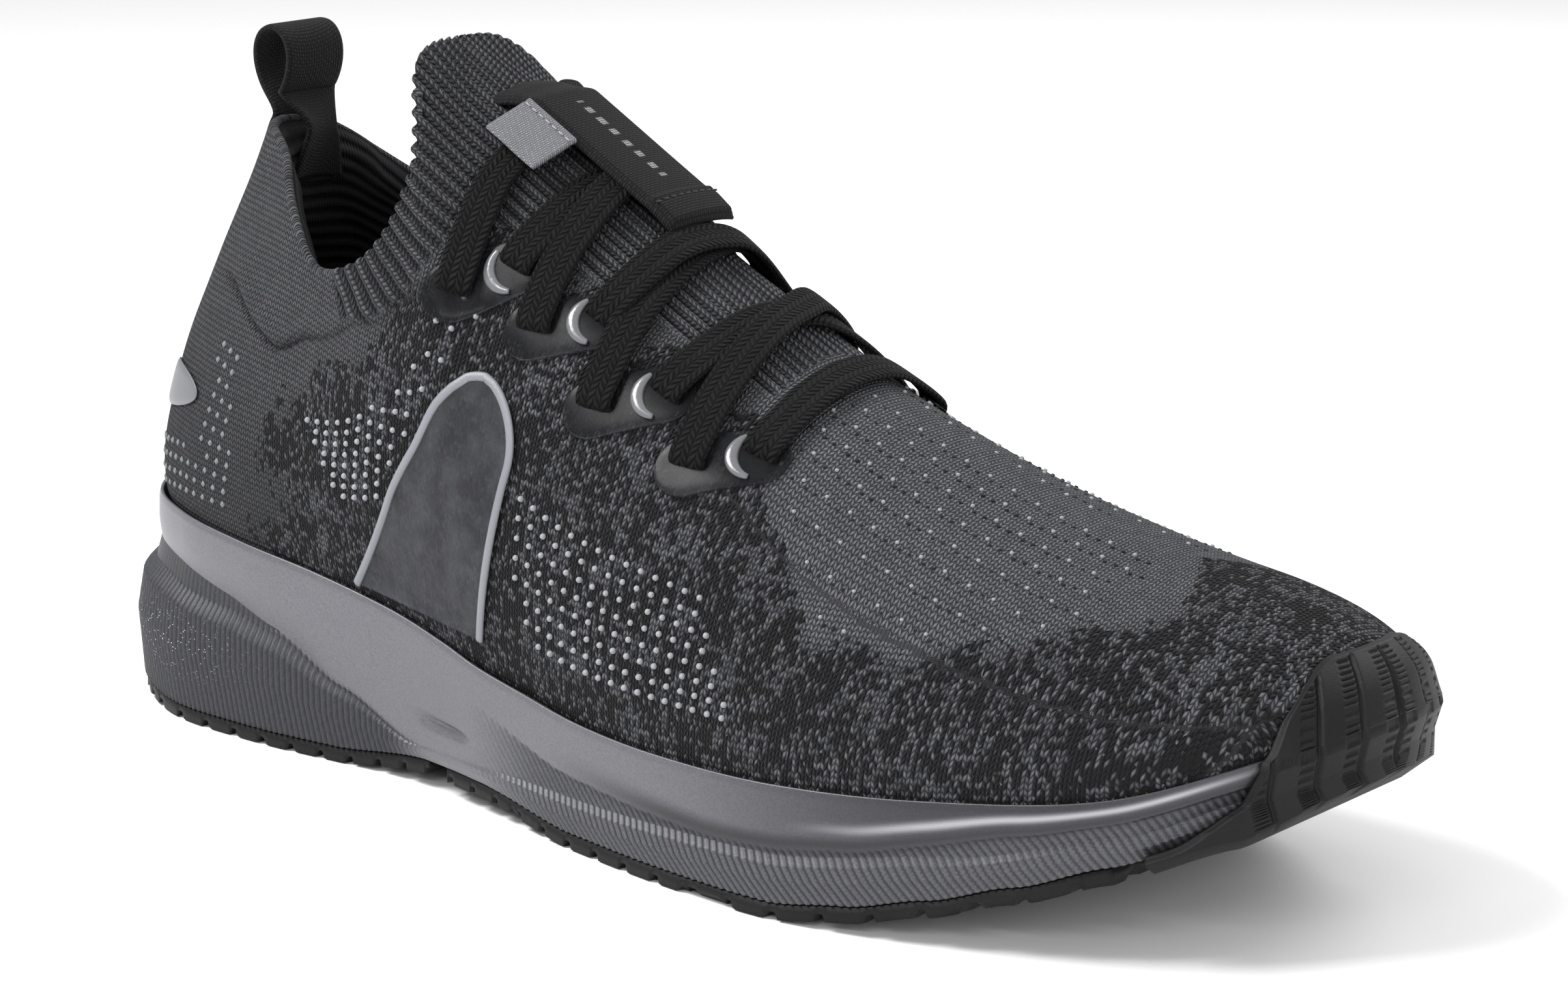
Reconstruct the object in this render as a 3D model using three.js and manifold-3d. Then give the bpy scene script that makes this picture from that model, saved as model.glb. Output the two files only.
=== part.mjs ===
// A right running shoe with a sock-like knitted upper, a moulded midsole skin, rubber outsole pads,
// a ribbon lace through eight pairs of eyelets, a tongue strap with a tag, and a heel pull loop.
//
// Millimetres. Inside this file X runs from the heel (0) to the toe, -Y is the outer (lateral) side,
// +Y the inner (medial) side, and Z is up from the ground. The group at the end moves that frame so
// that the origin is under the middle of the shoe.
import * as THREE from 'three';
import { mergeVertices } from 'three/addons/utils/BufferGeometryUtils.js';
import Module from 'manifold-3d';

const wasm = await Module();
wasm.setup();

// ---------------------------------------------------------------- driving dimensions

const MIDDLE_X = 147.1; // from the heel's rear to the middle of the length
const MIDDLE_Y = -0.75; // middle of the width

const FIT = 0.3; // clearance between touching pieces
const KNIT = 2.0; // knitted wall
const LINING = 0.9;
const COLLAR_FOAM = 2.6;
const COUNTER = 1.2; // heel counter and toe puff
const BOARD = 1.6; // strobel board
const SOCKLINER_FOAM = 3.6;
const SOCKLINER_COVER = 0.9;
const SKIN = 1.9; // midsole skin wall
const RUBBER = 3.2; // outsole pads
const FILM = 0.4; // eyelet films and side overlays

const LACE_WIDTH = 7.4;
const LACE_THICKNESS = 1.5;
const LACE_LIFT = 2.05; // middle of a lace above the knit it lies on
const SLOT_LENGTH = 9.8; // eyelet slots cut through the knit
const SLOT_WIDTH = 5.6;

const STRAP_WIDTH = 18.5;
const STRAP_THICKNESS = 1.6;
const LOOP_WIDTH = 15.6; // heel pull webbing
const LOOP_THICKNESS = 1.3;

// One row for each station round the upper, from the middle of the heel to the tip of the toe.
// foot, low, high and top are the four control points of the wall curve on the outer side: foot is
// at the rim of the midsole and top is on the collar rim or on the ridge over the instep. On the
// ridge, high is [distance along the ridge, distance sideways] from top instead of a point.
// inner scales the sideways distances of foot, low and high on the inner side.
const STATIONS = [
  { foot: [4.5, 2, 42], low: [4, 2, 65], high: [22, 2, 92], top: [29.5, 2, 120.5], inner: [1, 1] },
  { foot: [13, -20, 41], low: [12, -24.5, 63], high: [29, -21, 90], top: [35, -9.5, 121],
    inner: [0.98, 0.98], innerTop: [29.5, 12, 118.5] },
  { foot: [31, -31, 40], low: [29, -37, 62], high: [43, -29, 90], top: [46, -17, 117],
    inner: [1.02, 1], innerTop: [34, 22.5, 112] },
  { foot: [52, -35, 38], low: [50, -41, 59], high: [57, -36, 80], top: [56.5, -25.5, 108.5],
    inner: [0.98, 0.98], innerTop: [47, 29.5, 104] },
  { foot: [74, -36, 35.5], low: [72, -42, 55], high: [74, -40, 77], top: [71, -32.5, 98.2],
    inner: [0.93, 0.93], innerTop: [70, 32, 97] },
  { foot: [96, -37, 32], low: [96, -45, 55], high: [91, -45, 80], top: [88, -34, 104.5],
    inner: [0.85, 0.83], innerTop: [87, 31, 104] },
  { foot: [112, -39.5, 29], low: [111, -48, 57], high: [103, -43, 96], top: [92.5, -27, 121],
    inner: [0.75, 0.76], innerTop: [91, 25, 121] },
  { foot: [124, -42, 26.5], low: [122, -49, 60], high: [108, -40, 112], top: [83.8, -16, 138.8],
    inner: [0.74, 0.68], innerTop: [83.5, 14, 138.5] },
  { foot: [138, -44.5, 24.5], low: [136, -50.5, 58], high: [38, 32], top: [81.5, 0, 142],
    inner: [0.75, 0.8] },
  { foot: [156, -48, 22.5], low: [154, -54, 49], high: [33, 33], top: [110, 1, 125],
    inner: [0.78, 0.66] },
  { foot: [178, -51, 21.8], low: [176, -56, 42], high: [20, 34], top: [143, 2.5, 105.5],
    inner: [0.8, 0.6] },
  { foot: [205, -52, 22.3], low: [204, -57, 37], high: [14, 36], top: [180, 4.5, 85.2],
    inner: [0.81, 0.62] },
  { foot: [234, -47, 24], low: [236, -51, 35.5], high: [14, 38], top: [214, 7, 71.2],
    inner: [0.8, 0.66] },
  { foot: [264, -36, 27.5], low: [268, -41, 40], high: [16, 30], top: [242, 9, 63.3],
    inner: [0.82, 0.8] },
  { foot: [284, -18, 34.5], low: [289.5, -22, 44], high: [27, 17], top: [252, 10, 61.7],
    inner: [0.78, 0.85] },
  { foot: [292.5, 6, 38.5], low: [297.5, 7, 47], high: [35, 0], top: [252, 10, 61.7], inner: [1, 1] },
];
const CROWN = 8; // station at the top of the tongue, where the collar rim ends and the ridge starts
const APEX = 14; // first of the stations that meet in one point over the toes
const TOE = STATIONS.length - 1;
const RING = 2 * TOE; // stations right round the shoe, both sides

const TURN_IN = 3.2; // how far the upper's lower edge turns in inside the midsole's cup

// Heights along the length: [x, z]. bed is the top of the board, ground the outsole's lower face,
// and ledge the step between the midsole's smooth upper band and its ribbed lower band.
const BED = [[0, 31], [70, 30], [120, 23], [170, 17], [205, 15.8], [240, 19.5], [262, 24], [280, 31],
  [292, 36]];
const GROUND = [[-4, 7], [6, 3.2], [16, 1], [28, 0], [80, 0], [104, 2.6], [124, 2.6], [150, 0],
  [205, 0], [220, 2], [235, 5.4], [250, 9.8], [265, 14.6], [281, 20.5], [292, 27.5], [298, 33]];
const LEDGE = [[-4, 33], [20, 32], [47, 28], [62, 24.5], [80, 16.5], [100, 9], [150, 10.5], [205, 12.5],
  [240, 17.5], [268, 24], [285, 31], [298, 36]];
// How far the midsole stands outside the upper's foot line: at the rim, the ledge and its widest.
const RIM_OUT = 2.2;
const LEDGE_OUT = [[-4, 1.6], [50, 1.6], [100, 1.4], [150, 1.6], [205, 2.2], [268, 1.2], [298, 0.4]];
const FLARE_OUT = [[-4, 8], [30, 7], [60, 4.8], [90, 2], [110, 1.6], [150, 2.6], [205, 3.8],
  [250, 2.6], [275, 1.2], [298, 0.6]];

// ---------------------------------------------------------------- small tools

const vec = (p) => new THREE.Vector3(p[0], p[1], p[2]);

function along(table, x) {
  const last = table.length - 1;
  if (x <= table[0][0]) return table[0][1];
  if (x >= table[last][0]) return table[last][1];
  const i = table.findIndex((row) => row[0] > x);
  const [x0, y0] = table[i - 1];
  const [x1, y1] = table[i];
  const t = THREE.MathUtils.smoothstep(x, x0, x1) * 0.5 + ((x - x0) / (x1 - x0)) * 0.5;
  return y0 + (y1 - y0) * t;
}

// Catmull-Rom through p1 and p2, at f from 0 to 1.
function blend4(p0, p1, p2, p3, f) {
  const a = p1.clone().multiplyScalar(2);
  const b = p2.clone().sub(p0);
  const c = p0.clone().multiplyScalar(2).addScaledVector(p1, -5).addScaledVector(p2, 4).sub(p3);
  const d = p1.clone().multiplyScalar(3).sub(p0).addScaledVector(p2, -3).add(p3);
  return a.addScaledVector(b, f).addScaledVector(c, f * f).addScaledVector(d, f * f * f)
    .multiplyScalar(0.5);
}

function splineAt(points, t) {
  const n = points.length;
  const i = Math.min(Math.floor(t), n - 2);
  const p1 = points[i];
  const p2 = points[i + 1];
  const p0 = i > 0 ? points[i - 1] : p1.clone().multiplyScalar(2).sub(p2);
  const p3 = i + 2 < n ? points[i + 2] : p2.clone().multiplyScalar(2).sub(p1);
  return blend4(p0, p1, p2, p3, t - i);
}

// A closed body from loose triangles: vertices in the same place are joined first.
function bodyFrom(positions, index) {
  const raw = new THREE.BufferGeometry();
  raw.setAttribute('position', new THREE.Float32BufferAttribute(positions, 3));
  raw.setIndex(index);
  return tidy(raw);
}

function tidy(geometry) {
  const bare = geometry.clone();
  bare.deleteAttribute('normal');
  bare.deleteAttribute('uv');
  const merged = mergeVertices(bare, 1e-3);
  const old = merged.index.array;
  const kept = [];
  for (let i = 0; i < old.length; i += 3) {
    const [a, b, c] = [old[i], old[i + 1], old[i + 2]];
    if (a !== b && b !== c && c !== a) kept.push(a, b, c);
  }
  merged.setIndex(kept);
  if (volumeOf(merged) < 0) {
    for (let i = 0; i < kept.length; i += 3) [kept[i], kept[i + 1]] = [kept[i + 1], kept[i]];
    merged.setIndex(kept);
  }
  merged.computeVertexNormals();
  return merged;
}

function volumeOf(geometry) {
  const p = geometry.attributes.position;
  const index = geometry.index.array;
  const [a, b, c] = [new THREE.Vector3(), new THREE.Vector3(), new THREE.Vector3()];
  let volume = 0;
  for (let i = 0; i < index.length; i += 3) {
    a.fromBufferAttribute(p, index[i]);
    b.fromBufferAttribute(p, index[i + 1]);
    c.fromBufferAttribute(p, index[i + 2]);
    volume += a.dot(b.cross(c)) / 6;
  }
  return volume;
}

// A solid between two grids of points, outer[i][j] and inner[i][j]. With wrapI the first and last
// rows join, so the solid is a closed ring. With seam the first column is a line where the grid
// meets itself, so it needs no wall.
function slab(outer, inner, { wrapI = false, seam = false } = {}) {
  const ni = outer.length;
  const nj = outer[0].length;
  const positions = [];
  for (const grid of [outer, inner]) {
    for (const row of grid) {
      for (const p of row) positions.push(p.x, p.y, p.z);
    }
  }
  const at = (side, i, j) => side * ni * nj + (i % ni) * nj + j;
  const index = [];
  const quad = (a, b, c, d) => index.push(a, b, c, a, c, d);
  const rows = wrapI ? ni : ni - 1;
  for (let i = 0; i < rows; i += 1) {
    for (let j = 0; j < nj - 1; j += 1) {
      quad(at(0, i, j), at(0, i + 1, j), at(0, i + 1, j + 1), at(0, i, j + 1));
      quad(at(1, i, j), at(1, i, j + 1), at(1, i + 1, j + 1), at(1, i + 1, j));
    }
    if (!seam) quad(at(1, i, 0), at(1, i + 1, 0), at(0, i + 1, 0), at(0, i, 0));
    quad(at(0, i, nj - 1), at(0, i + 1, nj - 1), at(1, i + 1, nj - 1), at(1, i, nj - 1));
  }
  if (!wrapI) {
    for (let j = 0; j < nj - 1; j += 1) {
      quad(at(0, 0, j), at(0, 0, j + 1), at(1, 0, j + 1), at(1, 0, j));
      quad(at(1, ni - 1, j), at(1, ni - 1, j + 1), at(0, ni - 1, j + 1), at(0, ni - 1, j));
    }
  }
  return bodyFrom(positions, index);
}

function toSolid(geometry) {
  return new wasm.Manifold(new wasm.Mesh({
    numProp: 3,
    vertProperties: new Float32Array(geometry.attributes.position.array),
    triVerts: new Uint32Array(geometry.index.array),
  }));
}

function fromSolid(solid) {
  const mesh = solid.getMesh();
  const geometry = new THREE.BufferGeometry();
  geometry.setAttribute('position', new THREE.Float32BufferAttribute(mesh.vertProperties, 3));
  geometry.setIndex(Array.from(mesh.triVerts));
  geometry.computeVertexNormals();
  return geometry;
}

function cut(geometry, cutters) {
  let solid = toSolid(geometry);
  for (const cutter of cutters) solid = solid.subtract(toSolid(cutter));
  return fromSolid(solid);
}

// ---------------------------------------------------------------- the upper's surface

const ridgePoints = STATIONS.slice(CROWN, APEX + 1).map((row) => vec(row.top));

function ridgeDirection(station) {
  const i = Math.min(station - CROWN, ridgePoints.length - 1);
  const before = ridgePoints[Math.max(i - 1, 0)];
  const after = ridgePoints[Math.min(i + 1, ridgePoints.length - 1)];
  return after.clone().sub(before).normalize();
}

// side is -1 for the outer half and 1 for the inner half.
function controlPoints(side) {
  return STATIONS.map((row, station) => {
    const onRidge = row.high.length === 2;
    const top = side > 0 && row.innerTop ? vec(row.innerTop) : vec(row.top);
    const centre = onRidge ? top.y : 2;
    const mirror = (p, scale) => {
      const q = vec(p);
      if (side > 0) q.y = centre + (centre - q.y) * scale;
      return q;
    };
    let high;
    if (onRidge) {
      high = top.clone().addScaledVector(ridgeDirection(station), row.high[0]);
      high.y += side * row.high[1] * (side > 0 ? row.inner[1] : 1);
    } else {
      high = mirror(row.high, row.inner[1]);
    }
    return [mirror(row.foot, row.inner[0]), mirror(row.low, row.inner[0]), high, top];
  });
}

const OUTER = controlPoints(-1);
const INNER = controlPoints(1);
const ROUND = [...OUTER, ...INNER.slice(1, TOE).reverse()];

function controlAt(column, u) {
  const i = Math.floor(u);
  const pick = (k) => ROUND[((k % RING) + RING) % RING][column];
  return blend4(pick(i - 1), pick(i), pick(i + 1), pick(i + 2), u - i);
}

// The collar rim from the heel to the tongue's crown, then the ridge, then the one point over the
// toes. The rim runs on through the other side at both ends so that it is smooth there.
function topAt(u) {
  const r = ((u % RING) + RING) % RING;
  const inner = r > TOE;
  const t = inner ? RING - r : r;
  const near = inner ? INNER : OUTER;
  const far = inner ? OUTER : INNER;
  if (t <= CROWN) {
    const onRim = near.slice(0, CROWN + 1).map((c) => c[3]);
    const rim = [far[2][3], far[1][3], ...onRim, far[CROWN - 1][3]];
    const k = Math.min(Math.floor(t + 2), CROWN + 1);
    return blend4(rim[k - 1], rim[k], rim[k + 1], rim[Math.min(k + 2, rim.length - 1)], t + 2 - k);
  }
  return t < APEX ? splineAt(ridgePoints, t - CROWN) : ridgePoints[APEX - CROWN].clone();
}

// u counts stations from the heel round the outer side to the toe and back along the inner side;
// v goes from 0 at the foot line to 1 at the rim or ridge.
function wallAt(u, v) {
  const w = 1 - v;
  return controlAt(0, u).multiplyScalar(w * w * w)
    .addScaledVector(controlAt(1, u), 3 * w * w * v)
    .addScaledVector(controlAt(2, u), 3 * w * v * v)
    .addScaledVector(topAt(u), v * v * v);
}

function oneSidedNormal(u, v) {
  const du = wallAt(u + 0.02, v).sub(wallAt(u - 0.02, v));
  const low = Math.min(v, 0.98);
  const dv = wallAt(u, low + 0.02).sub(wallAt(u, low));
  return du.cross(dv).normalize();
}

function wallNormal(u, v) {
  const r = ((u % RING) + RING) % RING;
  const t = Math.min(r, RING - r);
  if (v > 0.999 && t >= APEX) {
    const across = new THREE.Vector3(0, 1, 0);
    return ridgeDirection(APEX).cross(across).normalize();
  }
  const normal = oneSidedNormal(u, v);
  if (v > 0.999 && t >= CROWN) normal.add(oneSidedNormal(RING - r, v));
  return normal.normalize();
}

// A point h above the knit's outer face.
const onUpper = (u, v, h) => wallAt(u, v).addScaledVector(wallNormal(u, v), h);

function outward(u) {
  const d = controlAt(0, u + 0.05).sub(controlAt(0, u - 0.05));
  return new THREE.Vector3(d.y, -d.x, 0).normalize();
}

// A point level with height z, out millimetres outside the foot line.
function besideFoot(u, out, z) {
  const p = controlAt(0, u).addScaledVector(outward(u), out);
  p.z = z;
  return p;
}

function steps(from, to, count) {
  return Array.from({ length: count + 1 }, (_, i) => from + ((to - from) * i) / count);
}

// A solid patch on the wall between two heights h above the knit.
function patch(uList, vLow, vHigh, rows, hOut, hIn) {
  const grid = (h) => uList.map((u) => steps(vLow, vHigh, rows).map((v) => onUpper(u, v, h)));
  return slab(grid(hOut), grid(hIn));
}

// ---------------------------------------------------------------- the pieces of the upper

const WALL_ROWS = 10;
const STEP = 0.5; // stations; the linings use the knit's own steps, so their faces run parallel to it
const FINE_STEP = 0.25; // between the stations of the lacing, where the wall is hollow
const LACING = [7, 11];

// The stations of the knit's facets right round the shoe, finer over the lacing.
function knitStations() {
  const half = [0];
  while (half[half.length - 1] < TOE) {
    const u = half[half.length - 1];
    half.push(u + (u >= LACING[0] && u < LACING[1] ? FINE_STEP : STEP));
  }
  return [...half, ...half.slice(1, -1).reverse().map((u) => RING - u)];
}

function lowerEdge(u, depth) {
  const foot = controlAt(0, u);
  return besideFoot(u, -TURN_IN - depth, along(BED, foot.x) - BOARD);
}

function upperShell() {
  const stations = knitStations();
  const grid = (depth) => stations.map((u) => {
    return [lowerEdge(u, depth), ...steps(0, 1, WALL_ROWS).map((v) => onUpper(u, v, -depth))];
  });
  return upperFromGrids(stations, grid(0), grid(KNIT));
}

// The rows close at the top along the ridge, where both sides share their points, and are joined
// to the inner rows along the collar rim and the lower edge.
function upperFromGrids(stations, outer, inner) {
  const ni = outer.length;
  const nj = outer[0].length;
  const positions = [...outer.flat(), ...inner.flat()].flatMap((p) => [p.x, p.y, p.z]);
  const at = (side, i, j) => side * ni * nj + (i % ni) * nj + j;
  const index = [];
  const quad = (a, b, c, d) => index.push(a, b, c, a, c, d);
  for (let i = 0; i < ni; i += 1) {
    for (let j = 0; j < nj - 1; j += 1) {
      quad(at(0, i, j), at(0, i + 1, j), at(0, i + 1, j + 1), at(0, i, j + 1));
      quad(at(1, i, j), at(1, i, j + 1), at(1, i + 1, j + 1), at(1, i + 1, j));
    }
    quad(at(1, i, 0), at(1, i + 1, 0), at(0, i + 1, 0), at(0, i, 0));
    const [u, next] = [stations[i], stations[(i + 1) % ni] || RING];
    if (Math.min(Math.max(u, next), RING - Math.min(u, next)) <= CROWN) {
      quad(at(0, i, nj - 1), at(0, i + 1, nj - 1), at(1, i + 1, nj - 1), at(1, i, nj - 1));
    }
  }
  return bodyFrom(positions, index);
}

const LINING_REACH = 5; // stations each side of the heel
const COUNTER_REACH = 3;
const FOAM_REACH = 4.5;
const PUFF_REACH = 2; // each side of the toe
const LINING_DEPTH = KNIT + FIT + COLLAR_FOAM + FIT;

// Foam rolls, one each side, thickest in the middle of their height.
function collarFoam(side) {
  const uList = steps(side * STEP, side * FOAM_REACH, Math.round((FOAM_REACH - STEP) / STEP));
  const rows = [6, 7, 8, 9].map((row) => row / WALL_ROWS);
  const thickness = [0.7, COLLAR_FOAM, COLLAR_FOAM, 0.7];
  const grid = (scale) => uList.map((u) => rows.map((v, k) => {
    return onUpper(u, v, -KNIT - FIT - scale * thickness[k]);
  }));
  return slab(grid(0), grid(1));
}

// A lining patch on the knit's own steps, between two rows of the wall.
function liningPatch(middle, reach, rowFrom, rowTo, depth, thickness) {
  const uList = steps(middle - reach, middle + reach, Math.round((2 * reach) / STEP));
  const [low, high] = [rowFrom / WALL_ROWS, rowTo / WALL_ROWS];
  return patch(uList, low, high, rowTo - rowFrom, -depth, -depth - thickness);
}

// ---------------------------------------------------------------- films and overlays on the knit

// The four eyelet pairs of one side from the ankle to the toes: [u, v] of the outer and inner hole.
const EYELET_PAIRS = [
  [[7.44, 0.59], [8.4, 0.65]],
  [[8.6, 0.59], [9.28, 0.69]],
  [[9.27, 0.56], [9.92, 0.66]],
  [[10.17, 0.58], [10.63, 0.68]],
];
const sideOf = (uv, side) => [side < 0 ? uv[0] : RING - uv[0], uv[1]];

// The station and height whose wall point lies under or over the point target, near start.
function uvNear(target, start, normal) {
  let [u, v] = start;
  const d = 0.01;
  for (let k = 0; k < 12; k += 1) {
    const here = wallAt(u, v);
    const du = wallAt(u + d, v).sub(here).divideScalar(d).projectOnPlane(normal);
    const dv = wallAt(u, v + d).sub(here).divideScalar(d).projectOnPlane(normal);
    const miss = target.clone().sub(here).projectOnPlane(normal);
    const [uu, uv, vv] = [du.dot(du), du.dot(dv), dv.dot(dv)];
    const [a, b] = [miss.dot(du), miss.dot(dv)];
    const det = uu * vv - uv * uv;
    u += THREE.MathUtils.clamp((a * vv - b * uv) / det, -0.2, 0.2);
    v += THREE.MathUtils.clamp((b * uu - a * uv) / det, -0.06, 0.06);
  }
  return [u, v];
}

// A thin plate on the knit along the straight line between two of its points, [u, v] each.
// outline(t), for t from -1 to 1, gives [distance from the middle, low edge, high edge].
function laidPlate(outline, from, to, lengthSteps) {
  const [start, end] = [onUpper(...from, 0), onUpper(...to, 0)];
  const half = start.distanceTo(end) / 2;
  const middle = start.clone().lerp(end, 0.5);
  const normal = wallNormal(...from).add(wallNormal(...to)).normalize();
  const x = end.clone().sub(start).projectOnPlane(normal).normalize();
  const y = normal.clone().cross(x);
  const uvs = steps(-1, 1, lengthSteps).map((t) => {
    const [a, low, high] = outline(t, half);
    const q = THREE.MathUtils.clamp((a / half + 1) / 2, 0, 1);
    const near = [THREE.MathUtils.lerp(from[0], to[0], q), THREE.MathUtils.lerp(from[1], to[1], q)];
    return steps(low, high, 3).map((b) => {
      return uvNear(middle.clone().addScaledVector(x, a).addScaledVector(y, b), near, normal);
    });
  });
  const grid = (h) => uvs.map((row) => row.map((uv) => onUpper(uv[0], uv[1], h)));
  return slab(grid(FILM_LIFT + FILM), grid(FILM_LIFT));
}

const FILM_RADIUS = 6.2;
const FILM_LIFT = 0.3;

// A film with round ends that covers both holes of a pair.
function eyeletFilm(pair, side) {
  const capsule = (t, half) => {
    const a = (half + FILM_RADIUS) * Math.sin((t * Math.PI) / 2);
    const past = Math.max(0, Math.abs(a) - half) / FILM_RADIUS;
    const wide = FILM_RADIUS * Math.sqrt(Math.max(0.05, 1 - past * past));
    return [a, -wide, wide];
  };
  return laidPlate(capsule, sideOf(pair[0], side), sideOf(pair[1], side), 9);
}

// A slanted panel up the quarter, from the midsole's rim towards the laces, round at its top.
const PANEL_LIFT = 0.8;
const PANEL = {
  low: 0.085, // of the wall
  reach: 0.47,
  foot: 106, // X of its middle at the midsole's rim
  lean: 14, // how far forward its top stands
  halfFoot: 19,
  halfTop: 13,
  round: 0.72, // share of its height where the rounding starts
};

function sidePanel(side) {
  const grid = (h) => steps(0, 1, 14).map((a) => {
    const v = THREE.MathUtils.lerp(PANEL.low, PANEL.reach, a);
    const x = PANEL.foot + PANEL.lean * a;
    const over = Math.max(0, (a - PANEL.round) / (1 - PANEL.round));
    const half = THREE.MathUtils.lerp(PANEL.halfFoot, PANEL.halfTop, a) * Math.sqrt(1.02 - over * over);
    return steps(x - half, x + half, 9).map((at) => onUpper(...uvAtX(at, v, side, REAR_STATION), h));
  });
  return slab(grid(PANEL_LIFT + FILM), grid(PANEL_LIFT));
}

// A small patch beside the heel, blunt towards the rear and tapering forward.
const REFLECTOR = { rear: [0.8, 0.36], front: [2.1, 0.4], half: 4.6 };

function heelReflector(side) {
  const taper = (t, half) => {
    const wide = REFLECTOR.half * Math.sqrt(1.02 - t * t) * (1 - 0.25 * t);
    return [half * t, -wide, wide];
  };
  return laidPlate(taper, sideOf(REFLECTOR.rear, side), sideOf(REFLECTOR.front, side), 8);
}

// ---------------------------------------------------------------- inside the sole

const HALF_STEPS = 30; // steps from the heel to the toe along each side

// A body whose section at each step from the heel to the toe is a closed loop of points.
function alongShoe(loopAt, from = 0, to = TOE, count = HALF_STEPS) {
  const loops = steps(from, to, count).map(loopAt);
  const m = loops[0].length;
  const positions = loops.flat().flatMap((p) => [p.x, p.y, p.z]);
  const index = [];
  const quad = (a, b, c, d) => index.push(a, b, c, a, c, d);
  for (let i = 0; i < loops.length - 1; i += 1) {
    for (let j = 0; j < m; j += 1) {
      const k = (j + 1) % m;
      quad(i * m + j, i * m + k, (i + 1) * m + k, (i + 1) * m + j);
    }
  }
  for (let j = 0; j < m / 2 - 1; j += 1) {
    const last = (loops.length - 1) * m;
    quad(j, m - 1 - j, m - 2 - j, j + 1);
    quad(last + j, last + j + 1, last + m - 2 - j, last + m - 1 - j);
  }
  return bodyFrom(positions, index);
}

// A plate across the shoe, inset from the foot line, its faces at heights low and high. Its upper
// face rises by cup towards the edges.
function insole(inset, low, high, cup, from = 0, to = TOE) {
  const lifts = [1, 0.16, 0, 0, 0.16, 1];
  const across = [0, 0.12, 0.35, 0.65, 0.88, 1];
  return alongShoe((u) => {
    const x = controlAt(0, u).x;
    const a = besideFoot(u, -inset, 0);
    const b = besideFoot(RING - u, -inset, 0);
    const rise = cup * Math.min(1, a.distanceTo(b) / 50);
    const row = (z) => across.map((t, k) => {
      const p = a.clone().lerp(b, t);
      p.z = along(BED, x) + z + lifts[k] * rise;
      return p;
    });
    return [...row(low), ...row(high).reverse()];
  }, from, to);
}

const UNDER_UPPER = TURN_IN + KNIT + FIT;
const SOCKLINER_INSET = UNDER_UPPER + 1.4;
const SOCKLINER_CUP = 3.2; // rise of its edges

function strobelBoard() {
  return insole(UNDER_UPPER, -BOARD, 0, 0);
}

function sockliner(low, high) {
  return insole(SOCKLINER_INSET, low, high, SOCKLINER_CUP);
}

const COVER_FROM = 3 * FIT + SOCKLINER_FOAM; // its lower face above the bed

// ---------------------------------------------------------------- the sole

// The outer profile of the midsole skin at station u: [out, z] from the rim down.
function skinProfile(u) {
  const foot = controlAt(0, u);
  const rim = foot.z + 3;
  const bottom = along(GROUND, foot.x) + RUBBER + FIT;
  const ledge = Math.min(Math.max(along(LEDGE, foot.x), bottom + 1), rim - 2);
  const flare = along(FLARE_OUT, foot.x);
  const waist = along(LEDGE_OUT, foot.x);
  return [
    [RIM_OUT - 0.2, rim],
    [RIM_OUT + 0.1, rim - 1.2],
    [waist, ledge],
    [THREE.MathUtils.lerp(waist, flare, 0.75), ledge - (ledge - bottom) * 0.2],
    [flare, ledge - (ledge - bottom) * 0.5],
    [flare - 0.9, bottom],
  ];
}

function midsoleSkin() {
  const sections = Array.from({ length: 2 * HALF_STEPS }, (_, i) => (i * RING) / (2 * HALF_STEPS));
  const outer = sections.map((u) => skinProfile(u).map(([out, z]) => besideFoot(u, out, z)));
  const inner = sections.map((u) => {
    const profile = skinProfile(u);
    const foot = controlAt(0, u).z;
    const hug = [[FIT + 1.1, foot + 2.9], [FIT + 0.65, foot + 1.2], [FIT + 0.1, foot - 1]];
    const tops = hug.concat(profile.slice(3).map(([out, z]) => [out - SKIN, z]));
    return tops.map(([out, z]) => besideFoot(u, out, z));
  });
  return slab(outer, inner, { wrapI: true });
}

function midsoleCore() {
  return alongShoe((u) => {
    const profile = skinProfile(u);
    const bed = along(BED, controlAt(0, u).x) - BOARD - FIT;
    const bottom = profile[5][1];
    const middle = Math.min(profile[4][1], bed - 0.6);
    const half = (v) => [
      besideFoot(v, profile[5][0] - SKIN - FIT, bottom),
      besideFoot(v, profile[4][0] - SKIN - FIT, middle),
      besideFoot(v, Math.min(profile[4][0], profile[3][0]) - SKIN - FIT - 0.8, bed),
    ];
    return [...half(u), ...half(RING - u).reverse()];
  });
}

const HEEL_PADS = { from: 0.12, to: 5.55, split: 0.44 }; // split is the share of the width of each
const FOREFOOT_PAD = { from: 5.95, to: 13.05 };
const PAD_INSET = 1.4; // from the midsole's widest line

// A rubber pad under the sole between two stations, from t0 to t1 of the way across.
function outsolePad(from, to, t0, t1, count) {
  return alongShoe((u) => {
    const x = controlAt(0, u).x;
    const out = along(FLARE_OUT, x) - PAD_INSET;
    const a = besideFoot(u, out, 0);
    const b = besideFoot(RING - u, out, 0);
    const at = (t, lift) => {
      const p = a.clone().lerp(b, t);
      p.z = along(GROUND, x) + lift;
      return p;
    };
    return [at(t0, RUBBER), at(t0, 0), at(t1, 0), at(t1, RUBBER)];
  }, from, to, count);
}

const BUMPER_START = 13.25;
const BUMPER_MEETS = 0.16; // of the wall, where it reaches the knit
const BUMPER_TOP = 0.5; // of the wall, over the toes
const BUMPER_LEAST = 0.06; // share of its climb where it starts, beside the toes
const BUMPER_OUT = 1.9;
const BUMPER_GAP = 1.1;

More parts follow.
